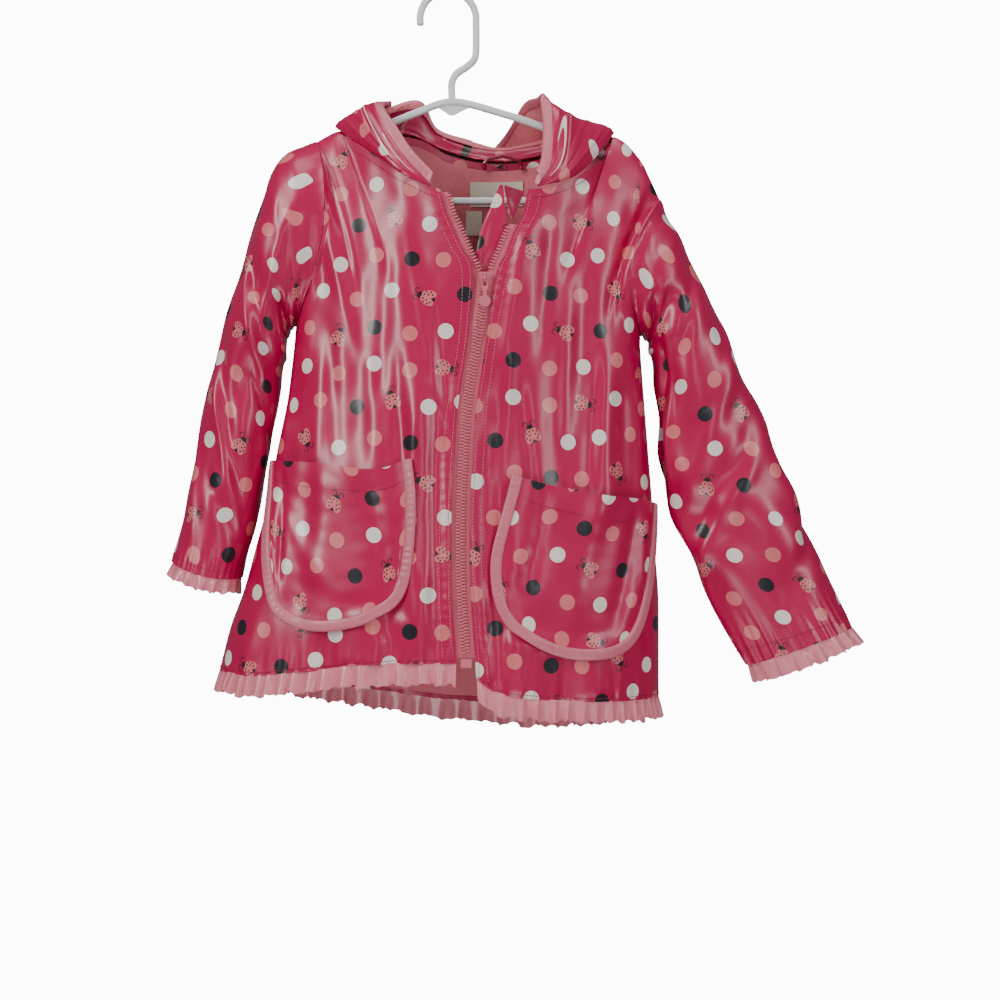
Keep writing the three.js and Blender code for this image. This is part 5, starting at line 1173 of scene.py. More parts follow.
class Graph:
    """A material's nodes, written as sums."""

    def __init__(self, name: str) -> None:
        self.material = bpy.data.materials.new(name)
        self.material.use_nodes = True
        self.tree = self.material.node_tree
        self.tree.nodes.clear()
        self.out = self.tree.nodes.new("ShaderNodeOutputMaterial")
        self.shader = self.tree.nodes.new("ShaderNodeBsdfPrincipled")
        self.tree.links.new(self.shader.outputs[0], self.out.inputs[0])

    def put(self, socket: bpy.types.NodeSocket, value: object) -> None:
        """Link a socket to another, or set its number."""
        if isinstance(value, bpy.types.NodeSocket):
            self.tree.links.new(value, socket)
        else:
            socket.default_value = value

    def math(self, op: str, a: object, b: object = 0.0, c: object = 0.0) -> bpy.types.NodeSocket:
        """Sum of one to three numbers."""
        node = self.tree.nodes.new("ShaderNodeMath")
        node.operation = op
        for socket, value in zip(node.inputs, (a, b, c)):
            self.put(socket, value)
        return node.outputs[0]

    def vector(self, op: str, a: object, b: object = (0, 0, 0), c: object = (0, 0, 0)) -> bpy.types.NodeSocket:
        """Sum of vectors; its number output for lengths."""
        node = self.tree.nodes.new("ShaderNodeVectorMath")
        node.operation = op
        for socket, value in zip(node.inputs, (a, b, c)):
            self.put(socket, value)
        return node.outputs["Value"] if op in ("LENGTH", "DISTANCE", "DOT_PRODUCT") else node.outputs[0]

    def mix(self, share: object, a: object, b: object, kind: str = "RGBA") -> bpy.types.NodeSocket:
        """Mix of two colours or vectors."""
        node = self.tree.nodes.new("ShaderNodeMix")
        node.data_type = kind
        self.put(node.inputs[0], share)
        lo, hi, out = {"RGBA": (6, 7, 2), "VECTOR": (4, 5, 1), "FLOAT": (2, 3, 0)}[kind]
        self.put(node.inputs[lo], a)
        self.put(node.inputs[hi], b)
        return node.outputs[out]

    def noise(self, vector: object, scale: float, detail: float = 3.0, rough: float = 0.5) -> bpy.types.NodeSocket:
        """Noise value."""
        node = self.tree.nodes.new("ShaderNodeTexNoise")
        self.put(node.inputs["Vector"], vector)
        node.inputs["Scale"].default_value = scale
        node.inputs["Detail"].default_value = detail
        node.inputs["Roughness"].default_value = rough
        return node.outputs[0]

    def cut(self) -> bpy.types.NodeSocket:
        """Place in the cut cloth, in metres."""
        node = self.tree.nodes.new("ShaderNodeUVMap")
        node.uv_map = "cut"
        return node.outputs[0]

    def bump(self, height: object, distance: float, strength: float = 1.0) -> None:
        """Bump the surface by a height."""
        node = self.tree.nodes.new("ShaderNodeBump")
        node.inputs["Strength"].default_value = strength
        node.inputs["Distance"].default_value = distance
        self.put(node.inputs["Height"], height)
        self.put(self.shader.inputs["Normal"], node.outputs[0])

    def set(self, **values: object) -> None:
        """Set the shader's own sockets, with underscores for spaces."""
        for name, value in values.items():
            self.put(self.shader.inputs[name.replace("_", " ")], value)


class Paint:
    """Makes the materials."""

    @staticmethod
    def plain(f: Finish) -> bpy.types.Material:
        """A plain material from its finish."""
        g = Graph(f.name)
        cut = g.cut()
        colour = (*f.colour, 1.0)
        if f.grain:
            tone = g.noise(cut, f.grain_size * 0.2, 2.0)
            dark = tuple(0.86 * c for c in f.colour) + (1.0,)
            colour = g.mix(tone, dark, tuple(min(1, 1.08 * c) for c in f.colour) + (1.0,))
            height = g.noise(cut, f.grain_size, 3.0, 0.6)
            if f.weave:
                x = g.tree.nodes.new("ShaderNodeSeparateXYZ")
                g.put(x.inputs[0], cut)
                rib = g.math("SINE", g.math("MULTIPLY", x.outputs[0], 6000.0))
                rib2 = g.math("SINE", g.math("MULTIPLY", x.outputs[1], 6000.0))
                height = g.math("ADD", g.math("MULTIPLY", g.math("ADD", rib, rib2), 0.2), height)
            g.bump(height, 0.0004, f.grain)
        g.set(Base_Color=colour, Roughness=f.roughness, Coat_Weight=f.coat, Coat_Roughness=0.12,
              Sheen_Weight=f.sheen, Sheen_Roughness=0.5)
        return g.material

    @staticmethod
    def printed(name: str, ground: tuple = HOT_PINK) -> bpy.types.Material:
        """Coated cloth with the print of dots and ladybirds."""
        g = Graph(name)
        cut = g.cut()
        p = g.vector("SCALE", cut)
        p.node.inputs["Scale"].default_value = 1000.0
        half = PRINT_REPEAT / 2
        near: dict[str, object] = {}
        bird: Optional[bpy.types.NodeSocket] = None
        bird_far: Optional[bpy.types.NodeSocket] = None
        for x, y, motif, turn in PRINT:
            q = g.vector("WRAP", g.vector("SUBTRACT", p, (x, y, 0)), (half, half, 1), (-half, -half, -1))
            far = g.vector("LENGTH", q)
            if motif != "ladybird":
                near[motif] = far if motif not in near else g.math("MINIMUM", near[motif], far)
                continue
            spin = g.tree.nodes.new("ShaderNodeVectorRotate")
            spin.rotation_type = "Z_AXIS"
            g.put(spin.inputs["Vector"], q)
            spin.inputs["Angle"].default_value = math.radians(turn)
            if bird is None:
                bird, bird_far = spin.outputs[0], far
            else:
                closer = g.math("LESS_THAN", far, bird_far)
                bird = g.mix(closer, bird, spin.outputs[0], "VECTOR")
                bird_far = g.math("MINIMUM", bird_far, far)
        worn = g.noise(cut, 55.0, 3.0)
        base = g.mix(worn, tuple(0.9 * c for c in ground) + (1.0,), tuple(1.06 * c for c in ground) + (1.0,))
        for motif, colour in (("white", OFF_WHITE), ("salmon", SALMON), ("black", INK)):
            base = g.mix(g.math("LESS_THAN", near[motif], DOT_RADIUS), base, (*colour, 1.0))
        base = Paint.ladybird(g, bird, base)
        fine = g.noise(cut, 1500.0, 2.0)
        crumple = g.noise(cut, 26.0, 4.0, 0.55)
        height = g.math("ADD", g.math("MULTIPLY", fine, 0.05), g.math("MULTIPLY", crumple, 1.0))
        g.bump(height, 0.0010, 0.35)
        rough = g.mix(g.noise(cut, 35.0, 3.0), 0.27, 0.38, "FLOAT")
        g.set(Base_Color=base, Roughness=rough, Coat_Weight=0.25, Coat_Roughness=0.2)
        g.shader.inputs["Specular IOR Level"].default_value = 0.55
        return g.material

    @staticmethod
    def ladybird(g: Graph, q: object, base: object) -> bpy.types.NodeSocket:
        """Draw a ladybird round the local point q, over a base colour."""
        split = g.tree.nodes.new("ShaderNodeSeparateXYZ")
        g.put(split.inputs[0], q)
        x, y = g.math("ABSOLUTE", split.outputs[0]), split.outputs[1]

        def disc(cx: float, cy: float, rx: float, ry: float) -> bpy.types.NodeSocket:
            dx = g.math("MULTIPLY", g.math("SUBTRACT", x, cx), 1 / rx)
            dy = g.math("MULTIPLY", g.math("SUBTRACT", y, cy), 1 / ry)
            return g.math("ADD", g.math("MULTIPLY", dx, dx), g.math("MULTIPLY", dy, dy))

        dx, dy = g.math("SUBTRACT", x, 2.7), g.math("ADD", y, 1.0)
        u = g.math("ADD", g.math("MULTIPLY", dx, 0.96 / 3.3), g.math("MULTIPLY", dy, 0.28 / 3.3))
        w = g.math("SUBTRACT", g.math("MULTIPLY", dx, 0.28 / 5.9), g.math("MULTIPLY", dy, 0.96 / 5.9))
        wing = g.math("LESS_THAN", g.math("ADD", g.math("MULTIPLY", u, u), g.math("MULTIPLY", w, w)), 1.0)
        dark = g.math("MINIMUM", disc(0, -0.8, 3.6, 6.0), disc(0, 5.2, 2.9, 2.6))
        ring = g.math("ABSOLUTE", g.math("SUBTRACT", g.math("SQRT", disc(3.0, 8.6, 1.0, 1.0)), 1.9))
        feeler = g.math("MULTIPLY", g.math("LESS_THAN", ring, 0.38), g.math("GREATER_THAN", y, 7.6))
        specks = None
        for cx, cy in SPECKS:
            one = disc(cx, cy, 0.72, 0.72)
            specks = one if specks is None else g.math("MINIMUM", specks, one)
        black = g.math("MAXIMUM", g.math("LESS_THAN", dark, 1.0), feeler)
        base = g.mix(black, base, (*INK, 1.0))
        base = g.mix(wing, base, (*SALMON, 1.0))
        return g.mix(g.math("LESS_THAN", specks, 1.0), base, (*INK, 1.0))


PRINTED = Paint.printed("coated_cloth")
LINING = Paint.plain(Finish("lining", (0.780, 0.200, 0.250), 0.95, grain=0.5, grain_size=1400, sheen=0.3))
TRIM = Paint.plain(Finish("binding", (0.640, 0.150, 0.215), 0.42, grain=0.35, grain_size=900, coat=0.15))
FRILL = Paint.plain(Finish("ruffle", (0.800, 0.235, 0.295), 0.30, grain=0.25, grain_size=400, coat=0.3))
WOVEN = Paint.plain(Finish("zip_tape", (0.660, 0.130, 0.185), 0.7, grain=0.4, grain_size=1200, weave=True))
MOULDED = Paint.plain(Finish("zip_plastic", (0.660, 0.150, 0.200), 0.35))
# Darker pink that paints the shade of the neck opening, used on the facing and the hanging loop
NECK_SHADE_PINK = Paint.plain(Finish("facing", (0.300, 0.004, 0.050), 0.35, grain=0.3, grain_size=500, coat=0.3))
LABEL = Paint.plain(Finish("label", (0.800, 0.730, 0.600), 0.75, grain=0.3, grain_size=1500, weave=True))
WHITE_PLASTIC = Paint.plain(Finish("hanger_plastic", (0.820, 0.825, 0.830), 0.30, coat=0.2))
THREAD = Paint.plain(Finish("thread", (0.660, 0.215, 0.265), 0.6))
DARK_THREAD = Paint.plain(Finish("dark_thread", (0.330, 0.010, 0.055), 0.6))


# Pieces

@dataclass(frozen=True)
class Cut:
    """How a sheet of cloth is held and what it rests on."""

    held: str
    rests_on: Sequence[str] = ()


def grid_area(pts: Array) -> float:
    """Area of a grid of points, in square metres."""
    a, b, c, d = pts[:-1, :-1], pts[1:, :-1], pts[1:, 1:], pts[:-1, 1:]
    return float(np.linalg.norm(np.cross(c - a, d - b), axis=-1).sum()) / 2e6


def declare(obj: bpy.types.Object, pts: Array, cut: Cut, slot: str, *nodes: str) -> None:
    """Attach a cloth piece to the coat and hide the solids it replaces."""
    area = grid_area(pts)
    length = max(float(np.linalg.norm(np.diff(pts[pts.shape[0] // 2], axis=0), axis=1).sum()) / 1000, 0.012)
    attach(obj, "coat")
    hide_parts(*nodes)
    list(cut.rests_on)


def unrolled(panel: Panel, pts: Array, shift: tuple) -> Array:
    """Place in the cut cloth: x by the way round the body, y by height."""
    z = np.minimum(pts[..., 2], CHEST_Z)
    a = np.linspace(-90, 90, 181)
    form = body_form(a, np.full(a.shape, -420.0), panel.behind)
    arc = np.concatenate([[0], np.cumsum(np.linalg.norm(np.diff(form, axis=0), axis=1))])
    arc = arc - np.interp(0, a, arc)
    angle = angle_of_x(pts[..., 0], z)
    row = BODY_TABLE.at(z)
    scale = (row[..., 2] - row[..., 1]) / (form[-1, 0] - form[0, 0])
    x = np.interp(angle, a, arc) * scale + (row[..., 1] + row[..., 2]) / 2
    x = np.where(np.abs(angle) > 89.9, x + (pts[..., 0] - row[..., 1 if panel.side is Side.RIGHT else 2]), x)
    return np.stack([x + shift[0], pts[..., 2] + shift[1]], axis=-1)


def make_body() -> None:
    """Fronts, back and the back's lining."""
    for panel, n, m, shift in ((RIGHT, 110, 210, (11, 3)), (LEFT, 90, 210, (47, 30)), (BACK, 150, 160, (0, 60))):
        s, v = np.linspace(0, 1, n), np.linspace(0, 1, m) ** 1.08
        pts = panel.point(s[:, None], v[None, :], fine=True)
        out = [0, 1, 0] if panel.behind else [0, -1, 0]
        name = "back" if panel.behind else f"front_{panel.side.value}"
        obj = Cloth.shell(f"{name}_cloth", pts, 1.3, out, PRINTED, unrolled(panel, pts, shift))
        declare(obj, pts, Cut("hung", ("hanger",)), "coated_cloth", name)
        log.info("%s", name)
    s, v = np.linspace(0.035, 0.965, 120)[:, None], np.linspace(0, 1, 110)[None, :]
    m = BACK.marks
    necked = smooth((s - m[1] + 0.01) / 0.02) * smooth((m[2] + 0.01 - s) / 0.02)
    v = lerp(lerp(0.052, 0.014, necked), 0.99, v)
    pts = BACK.point(s + 0 * v, v)
    pts = pts - grid_normals(pts, [0, 1, 0]) * (WALL + LINING_GAP)
    soft = 0.8 * ripple(pts[..., 0], pts[..., 2] * 0.5, 50, 61) + 0.3 * ripple(pts[..., 0], pts[..., 2], 18, 62)
    pts[..., 1] -= np.abs(soft)
    obj = Cloth.shell("back_lining_cloth", pts, 0.8, [0, 1, 0], LINING, pts[..., [0, 2]])
    declare(obj, pts, Cut("hung", ("hanger",)), "lining", "back_lining")


def make_sleeves() -> None:
    """Sleeves."""
    for side, sleeve in SLEEVES.items():
        n, m = 130, 170
        d = np.arange(n) / n * 360
        t = np.linspace(0, 1, m)
        pts = sleeve.point(t[None, :], d[:, None], fine=True)
        if side == "right":
            pts = pts[::-1]
        closed = np.concatenate([pts, pts[:1]])
        around = np.cumsum(np.linalg.norm(np.diff(closed, axis=0), axis=-1), axis=0)
        k = int(n * 0.25)
        around = around - around[k][None, :]
        centre = sleeve.centre(t)
        along = np.concatenate([[0], np.cumsum(np.linalg.norm(np.diff(centre, axis=0), axis=1))])
        uv = np.stack([around + (30 if side == "right" else 95), -along[None, :] + 0 * around], axis=-1)
        middle = pts[0, m // 2] - centre[m // 2]
        obj = Cloth.shell(f"sleeve_{side}_cloth", pts, 1.3, middle, PRINTED, uv, ring=True)
        declare(obj, closed, Cut("hung", ("hanger",)), "coated_cloth", f"sleeve_{side}")
        log.info("sleeve %s", side)


def make_hood() -> None:
    """Hood halves, their linings and the face binding."""
    u, v = np.linspace(0, 1, 90), np.linspace(0, 1, 110)
    for side, hood in HOODS.items():
        pts = hood.point(u, v, fine=True)
        inward = hood.inward(pts)
        uu = np.cumsum(np.linalg.norm(np.diff(pts, axis=0, prepend=pts[:1]), axis=-1), axis=0)
        vv = np.cumsum(np.linalg.norm(np.diff(pts, axis=1, prepend=pts[:, :1]), axis=-1), axis=1)
        uu, vv = uu - uu.max(axis=0) / 2, vv - vv[:, -1:]
        uv = np.stack([uu + (20 if side == "right" else 70), vv], axis=-1)
        mid = (45, 50)
        obj = Cloth.shell(f"hood_{side}_cloth", pts, 1.1, -inward[mid], PRINTED, uv)
        declare(obj, pts, Cut("folded", ("hanger",)), "coated_cloth", f"hood_{side}")
        keep = (slice(10, None), slice(26, None))
        inner = (pts + inward * 1.9)[keep]
        obj = Cloth.shell(f"hood_lining_{side}_cloth", inner, 0.8, -inward[mid], LINING, uv[keep])
        declare(obj, inner, Cut("folded", ("hanger",)), "lining", f"hood_lining_{side}")
        log.info("hood %s", side)
    lines, aways, ins = [], [], []
    fine = np.linspace(0, 0.998, 150)
    for side in ("right", "left"):
        hood = HOODS[side]
        pts = hood.point(fine, np.array([0.94, 0.97, 1.0]))
        away = unit(pts[:, 2] - pts[:, 0])
        inward = hood.inward(pts)[:, 1]
        part = (pts[:, 2] + away * (BINDING / 2 - 1.0) + inward * 0.9, away, inward)
        order = slice(None) if side == "right" else slice(None, None, -1)
        for store, value in zip((lines, aways, ins), part):
            store.append(value[order])
    line, away, inward = (np.concatenate(k) for k in (lines, aways, ins))
    obj = Cloth.band("hood_binding_band", line, away, inward, BINDING + 2, 4.2, TRIM, pucker=0.22)
    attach(obj, "coat")
    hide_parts("hood_binding")


def make_pockets(stitches: Capsules, dark: Capsules) -> None:
    """Pockets, their bindings and their stitching."""
    for side, pocket in POCKETS.items():
        across, down = np.meshgrid(np.linspace(0, 1, 80), np.linspace(0, 1, 80), indexing="ij")
        a, z = pocket.patch(across, down)
        x, w = across * 120, down * 135
        bulge = 2.2 * np.sin(math.pi * across) * np.exp(-(down / 0.25) ** 2)
        soft = 0.6 * ripple(x * 1.5, w * 0.6, 52, 71 if side == "right" else 72) + 0.12 * ripple(x, w, 20, 73)
        inside = smooth(across / 0.08) * smooth((1 - across) / 0.08) * smooth((1 - down) / 0.08)
        sag = line_fold(x, w, POCKET_CREASES[side])
        pts = pocket.point(a, z, POCKET_LIFT + 0.2 + bulge + (soft + sag) * inside)
        along = np.cumsum(np.linalg.norm(np.diff(pts, axis=0, prepend=pts[:1]), axis=-1), axis=0)
        fall = np.cumsum(np.linalg.norm(np.diff(pts, axis=1, prepend=pts[:, :1]), axis=-1), axis=1)
        along = along - along[-1:] / 2 + (65 if side == "right" else 137)
        uv = np.stack([along, -fall + (41 if side == "right" else 100)], axis=-1)
        obj = Cloth.shell(f"pocket_{side}_cloth", pts, 1.1, [0, -1, 0], PRINTED, uv)
        declare(obj, pts, Cut("hung", (f"front_{side}_cloth",)), "coated_cloth", f"pocket_{side}")
        q = np.linspace(0, 1, 260)
        a0, z0 = pocket.rim(q, np.full(q.shape, BINDING / 2))
        a1, z1 = pocket.rim(q, np.full(q.shape, BINDING / 2 + 2))
        line = pocket.point(a0, z0, POCKET_LIFT + 0.3)
        off = pocket.point(a1, z1, POCKET_LIFT + 0.3) - line
        up = unit(np.cross(np.gradient(line, axis=0), off))
        up = np.where(up[:, 1:2] > 0, -up, up)
        obj = Cloth.band(f"pocket_binding_{side}_band", line, off, up, BINDING + 1.6, 3.0, TRIM, pucker=0.2)
        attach(obj, "coat")
        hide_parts(f"pocket_binding_{side}")
        for far, height in ((1.6, 4.6), (BINDING - 1.2, 4.5)):
            a2, z2 = pocket.rim(q, np.full(q.shape, far))
            run = pocket.point(a2, z2, POCKET_LIFT + height - 2.9)
            stitches.run(run, up, 2.6, 1.8, 0.6, 0.5)
        hem = np.linspace(0.03, 0.97, 120)
        a3, z3 = pocket.patch(hem, np.full(hem.shape, 0.16))
        lift = POCKET_LIFT + 0.5 + 2.2 * np.sin(math.pi * hem) * math.exp(-(0.16 / 0.25) ** 2)
        run = pocket.point(a3, z3, lift)
        dark.run(run, np.broadcast_to([0.0, -1, 0], run.shape), 2.6, 1.9, 0.6, 0.5)
        log.info("pocket %s", side)


HEM_TUCK = 1.1  # mm that a hem ruffle starts above the cloth's edge


def make_ruffle(name: str, base: Callable, out: Callable, down: Callable, sizes: tuple, ring: bool) -> None:
    """A gathered ruffle: the solids' waves, with soft uneven gathers."""
    height, waves, swing, seed = sizes
    per = 12
    cols = waves * per
    u = np.arange(cols if ring else cols + 1) / cols
    rows = np.linspace(0, 1, 9)
    uneven = 0.75 + 0.25 * np.sin(u * 17 + seed) + 0.12 * np.sin(u * 41 + seed * 2)
    ends = np.ones(u.shape) if ring else smooth(u / 0.03) * smooth((1 - u) / 0.03)
    shift = 0 if ring else 0.18 * np.sin(u * 9 + seed)
    phase = 2 * math.pi * (u * waves + 0.25 + shift)
    wave = np.sin(phase + 0.5 * np.sin(phase * 0.5 + seed)) * uneven * ends
    sharp = np.sign(wave) * np.abs(wave) ** 0.7
    n, d, b = out(u), down(u), base(u)
    small = ripple(u * cols / 1.6, u * 0, 9.0, seed + 50) * 0.35
    k = np.interp(rows, [0, 0.4, 1], [0.12, 0.55, 1.0])
    off = swing * (sharp[:, None] * k[None, :] + 0.45 * rows[None, :]) + small[:, None] * rows[None, :] - 0.35
    drop = SEAM_GAP + rows[None, :] * height * (1 - 0.12 * np.abs(wave) + 0.22 * small)[:, None]
    lean = 0.34 * np.cos(phase + 0.8)[:, None] * rows[None, :] * swing
    side = unit(np.cross(n, d))
    pts = (b[:, None] + d[:, None] * drop[..., None] + n[:, None] * off[..., None] + side[:, None] * lean[..., None])
    uv = np.stack(np.broadcast_arrays(u[:, None] * cols * 1.2, -drop), axis=-1)
    obj = Cloth.shell(f"{name}_cloth", pts, 0.7, n[0 if ring else len(u) // 2], FRILL, uv, ring)
    area = np.concatenate([pts, pts[:1]]) if ring else pts
    declare(obj, np.swapaxes(area, 0, 1), Cut("gathered", ()), "ruffle", name)
    log.info("%s", name)


def make_ruffles() -> None:
    """Hem and cuff ruffles."""
    for name, panel, waves, seed in (("right", RIGHT, 20, 1), ("left", LEFT, 16, 4), ("back", BACK, 32, 2)):
        def base(u: Array, panel: Panel = panel) -> Array:
            return panel.point(lerp(0.002, 0.998, u), np.ones(u.shape)) + np.array([0, 0, HEM_TUCK])

        def out(u: Array, panel: Panel = panel) -> Array:
            return panel.normal(lerp(0.002, 0.998, u), np.full(u.shape, 0.995))

        def down(u: Array, panel: Panel = panel) -> Array:
            way = unit(panel.point(u, np.ones(u.shape)) - panel.point(u, np.full(u.shape, 0.97)))
            return unit(way + np.array([0, 0, -1.0]))

        make_ruffle(f"hem_ruffle_{name}", base, out, down, (18, waves, 3.2, seed), False)
    for side, sleeve in SLEEVES.items():
        axis = unit(sleeve.centre(1.0) - sleeve.centre(0.93))

        def rim(u: Array, sleeve: Sleeve = sleeve) -> Array:
            return sleeve.point(np.ones(u.shape), u * 360)

        def outward(u: Array, sleeve: Sleeve = sleeve, axis: Array = axis) -> Array:
            v = sleeve.point(np.ones(u.shape), u * 360) - sleeve.centre(1.0)
            return unit(v - axis * np.sum(v * axis, axis=-1, keepdims=True))

        def along(u: Array, axis: Array = axis) -> Array:
            return np.broadcast_to(axis, (len(u), 3))

        make_ruffle(f"cuff_ruffle_{side}", rim, outward, along, sleeve.ruffle, True)


def make_zip(stitches: Capsules) -> None:
    """Tapes and teeth; slider, pull tab and stop keep their solids."""
    teeth = Capsules(sides=8)
    for side, top in (("right", -170.0), ("left", -196.0)):
        a, b = np.meshgrid(np.linspace(0, 1, 9), np.linspace(0, 1, 160), indexing="ij")
        z = lerp(top, -536.6, b)
        pts = tape_point(side, a, z)
        uv = np.stack([a * 14, z], axis=-1)
        obj = Cloth.shell(f"zip_tape_{side}_cloth", pts, 0.8, [0, -1, 0], WOVEN, uv)
        declare(obj, pts, Cut("hung", (f"front_{side}_cloth",)), "zip_tape", f"zip_tape_{side}")
        way = -1 if side == "right" else 1
        shut = np.arange(-247.5, -535.0, -2.5) + (0.0 if side == "right" else 1.25)
        open_z = np.arange(top - 3.0, -234.0, -2.5)
        for zs, offset in ((shut, 1.25), (open_z, 0.2)):
            line = tape_point(side, np.zeros(zs.shape), zs)
            line[:, 0] += way * offset
            line[:, 1] -= 0.75
            slope = np.gradient(line, axis=0)
            across = unit(np.cross(slope, np.array([0, -1.0, 0])))
            teeth.add(line, across, np.broadcast_to([0, -1.0, 0], line.shape), 4.4, 1.75, 1.9)
    obj = teeth.make("zip_teeth", MOULDED)
    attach(obj, "coat")
    for node in ("zip_slider", "zip_pull", "zip_stop"):
        paint(node, MOULDED)
    for panel in (RIGHT, LEFT):
        for far in (2.2, 8.5):
            v = np.linspace(0.012, 0.985, 500)
            s = np.full(v.shape, far / 230)
            run = panel.lift(s, v, 0.25 + 0 * v, fine=True)
            stitches.run(run, panel.normal(s, v), 2.7, 1.9, 0.55, 0.5)


def paint(node: str, material: bpy.types.Material) -> None:
    """Give a solid its material."""
    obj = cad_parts[node]
    obj.data.materials.clear()
    obj.data.materials.append(material)


def make_neck() -> None:
    """Wind flap, plain facing, labels and hanging loop in the neck opening; facing and loop in a darker pink of painted
    shade.
    """
    flap = Table(FLAP)
    a, b = np.meshgrid(np.linspace(0, 1, 24), np.linspace(0, 1, 160), indexing="ij")
    z = lerp(FLAP[0][0], -528.0, b ** 1.25)
    row = flap.at(z)
    low = smooth((-214 - z) / 22)
    x = lerp(lerp(row[..., 1], row[..., 2], a), zip_x(z) + lerp(-8.0, 10.0, a), low)
    half = np.full(z.shape, 0.5)
    tape = np.maximum(tape_point("right", half, z)[..., 1], tape_point("left", half, np.minimum(z, -196))[..., 1])
    y = lerp(row[..., 3], tape + TAPE + 3.3, low)
    roll = 1.6 * np.exp(-((a - 0.15) / 0.2) ** 2) * smooth((-168 - z) / 10) * (1 - low)
    pts = np.stack([x, y - roll + 0.6 * ripple(x, z, 24, 81) * (1 - low) * smooth(b / 0.03), z], axis=-1)
    obj = Cloth.shell("wind_flap_cloth", pts, 0.9, [0, -1, 0], PRINTED, np.stack([x + 62, z + 18], axis=-1))
    declare(obj, pts, Cut("hung", ("front_left_cloth",)), "coated_cloth", "wind_flap")
    tl, tr, br, bl = (np.array(p, float) for p in FACING)
    a, b = np.meshgrid(np.linspace(0, 1, 16), np.linspace(0, 1, 20), indexing="ij")
    pts = lerp(lerp(tl, tr, a[..., None]), lerp(bl, br, a[..., None]), b[..., None])
    pts[..., 1] += 0.5 * ripple(a * 16, b * 28, 14, 82) * smooth(b / 0.1)
    # The facing's dark pink is painted shade of the neck opening
    obj = Cloth.shell("neck_facing_cloth", pts, 0.8, [0, -1, 0], NECK_SHADE_PINK, pts[..., [0, 2]])
    declare(obj, pts, Cut("folded", ("front_left_cloth",)), "facing", "neck_facing")
    # The hanging loop takes the same painted-shade pink
    for node, material in (("neck_label", LABEL), ("size_label", LABEL), ("hang_loop", NECK_SHADE_PINK)):
        paint(node, material)


def make_hanger() -> None:
    """The hanger: one smooth tube for hook and neck, one for arms and bar, and the web."""
    arc = [[HOOK["x"] + HOOK["r"] * math.cos(math.radians(d)), HOOK["z"] + HOOK["r"] * math.sin(math.radians(d))]
           for d in np.arange(HOOK["tip"], -1, -14)]
    hook = Path([[x, 0, z] for x, z in [*arc, *HANGER_NECK]], 400).at(np.linspace(0, 1, 150))
    hook = np.concatenate([hook[:1] * 1.0, hook])
    arms = np.array([[x, 0, z] for x, z in HANGER_ARMS], float)
    loop = Path([*arms[-2:], *arms, *arms[:2]], 900)
    points = loop.at(np.linspace(0, 1, 900))
    start = int(np.argmin(np.linalg.norm(points[:200] - arms[0], axis=1)))
    stop = 600 + int(np.argmin(np.linalg.norm(points[600:] - arms[0], axis=1)))
    ring = points[start:stop:3]
    pieces = []
    for name, line, closed in (("hanger_hook", hook[1:], False), ("hanger_arms", ring, True)):
        ahead = np.roll(line, -1, axis=0) - np.roll(line, 1, axis=0) if closed else np.gradient(line, axis=0)
        across = unit(np.cross(ahead, np.array([0, 1.0, 0])))
        normal = np.broadcast_to([0, 1.0, 0], line.shape)
        pieces.append(Cloth.band(name, line, across, normal, 2 * TUBE_R, 2 * TUBE_R, WHITE_PLASTIC, closed, 28))
    tip = Capsules(sides=20)
    tip.add(hook[:1], hook[1:2] - hook[4:5], np.array([[0, 1.0, 0]]), 3.0, 5.9, 5.9)
    pieces.append(tip.make("hanger_tip", WHITE_PLASTIC))
    outline = np.array([[-12, -90.5], [3, -87], [20, -91.5], [10, -96], [5, -99], [1, -99], [-3, -96]], float)
    web = [[x, y, z] for y in (-1.2, 1.2) for x, z in outline]
    n = len(outline)
    faces = [list(range(n)), list(range(2 * n - 1, n - 1, -1))]
    faces += [[(k + 1) % n, k, k + n, (k + 1) % n + n] for k in range(n)]
    pieces.append(Cloth.add("hanger_web", np.array(web), faces, WHITE_PLASTIC, crease=30))
    for obj in pieces:
        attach(obj, "coat")
        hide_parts("hanger")


def make_stitches(stitches: Capsules, dark: Capsules) -> None:
    """Topstitching at hems, neck and cuffs."""
    for panel in (RIGHT, LEFT, BACK):
        s = np.linspace(0.004, 0.996, 400)
        v = np.full(s.shape, 0.9935)
        dark.run(panel.lift(s, v, 0.3 + 0 * s, fine=True), panel.normal(s, v), 2.7, 2.0, 0.65, 0.6)
        low, high = (0.02, panel.marks[0] - 0.02) if not panel.behind else (panel.marks[1] + 0.01, panel.marks[2] - 0.01)
        s = np.linspace(low, high, 200)
        v = np.full(s.shape, 0.02)
        dark.run(panel.lift(s, v, 0.3 + 0 * s, fine=True), panel.normal(s, v), 2.9, 2.0, 0.6, 0.5)
    for sleeve in SLEEVES.values():
        d = np.linspace(0, 360, 260)
        t = np.full(d.shape, 0.985)
        rim = sleeve.point(t, d, fine=True)
        out = unit(rim - sleeve.centre(0.985))
        dark.run(rim + out * 0.3, out, 2.7, 2.0, 0.65, 0.6)


def make_stage() -> None:
    """A pale seamless backdrop, well clear of the coat."""
    profile = [(-3.0, -1.25)] + [(1.4 + 0.9 * math.sin(a), -0.35 - 0.9 * math.cos(a))
                                for a in np.linspace(0, math.pi / 2, 24)] + [(2.3, 3.5)]
    points = [[x * 1000, y * 1000, z * 1000] for x in (-5, 5) for y, z in profile]
    n = len(profile)
    faces = [[k, k + 1, k + 1 + n, k + n] for k in range(n - 1)]
    g = Graph("backdrop")
    g.set(Base_Color=(0.9, 0.9, 0.9, 1), Roughness=1.0, Emission_Color=(1, 1, 1, 1), Emission_Strength=12.0)
    obj = Cloth.add("backdrop", np.array(points), faces, g.material)
    obj.visible_diffuse = obj.visible_glossy = obj.visible_shadow = False


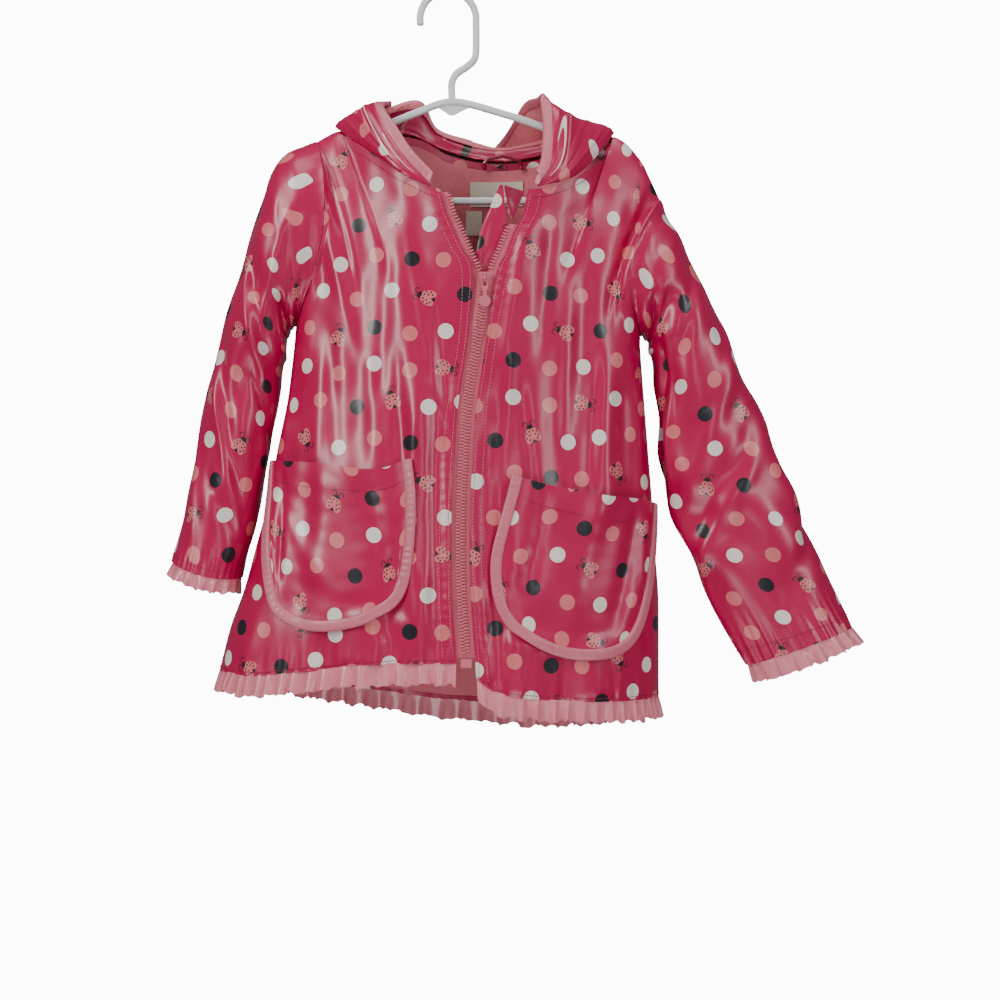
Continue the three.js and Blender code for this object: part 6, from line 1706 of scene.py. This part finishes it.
def make_light() -> None:
    """Soft room light and broad panels, as from a window high to the side."""
    world = bpy.data.worlds.new("room")
    world.use_nodes = True
    back = world.node_tree.nodes["Background"]
    back.inputs["Color"].default_value = (1.0, 1.0, 1.0, 1.0)
    back.inputs["Strength"].default_value = 0.14
    bpy.context.scene.world = world
    for name, place, aim, size, power, tint in LIGHTS:
        data = bpy.data.lights.new(name, "AREA")
        data.shape = "RECTANGLE"
        data.size, data.size_y = size
        data.energy = power
        data.color = tint
        obj = bpy.data.objects.new(name, data)
        obj.location = place
        way = np.array(aim) - np.array(place)
        obj.rotation_euler = Vector(way.tolist()).to_track_quat("-Z", "Y").to_euler()
        bpy.context.scene.collection.objects.link(obj)


def make_camera() -> None:
    """The photograph's view: square on to the coat."""
    data = bpy.data.cameras.new("photo")
    data.type = "PERSP"
    data.sensor_width = 36.0
    data.lens = 36.0 * 1300 / 820
    obj = bpy.data.objects.new("photo", data)
    obj.location = (0.0426, -1.3, -0.4144)
    obj.rotation_euler = (math.pi / 2, 0, 0)
    bpy.context.scene.collection.objects.link(obj)
    bpy.context.scene.camera = obj


LIGHTS = [
    # name, place, aim, size, power, tint
    ("window", (-1.15, -1.1, 0.45), (0.0, 0, -0.35), (0.35, 1.3), 20.0, (1.0, 0.99, 0.97)),
    ("window_far", (1.3, -1.1, 0.2), (0.1, 0, -0.35), (0.25, 1.4), 9.0, (0.96, 0.98, 1.0)),
    ("top", (0.1, -0.35, 1.0), (0.0, 0, -0.3), (1.2, 0.6), 9.0, (1, 1, 1)),
    ("under", (0.1, -0.9, -1.15), (0.05, 0, -0.6), (0.9, 0.4), 5.0, (1, 0.97, 0.97)),
    ("strip", (0.35, -2.2, -0.1), (0.05, 0, -0.4), (0.12, 1.2), 3.5, (1, 1, 1)),
]


def main() -> None:
    """Make every piece, then the stage, light and camera."""
    logging.basicConfig(level=logging.INFO, format="%(message)s")
    stitches, dark = Capsules(), Capsules()
    make_body()
    make_sleeves()
    make_hood()
    make_pockets(stitches, dark)
    make_ruffles()
    make_zip(stitches)
    make_neck()
    make_hanger()
    make_stitches(stitches, dark)
    for obj, slot in ((stitches.make("stitches", THREAD), "binding"), (dark.make("dark_stitches", DARK_THREAD), "facing")):
        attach(obj, "coat")
    make_stage()
    make_light()
    make_camera()


if __name__ == "__main__":
    main()
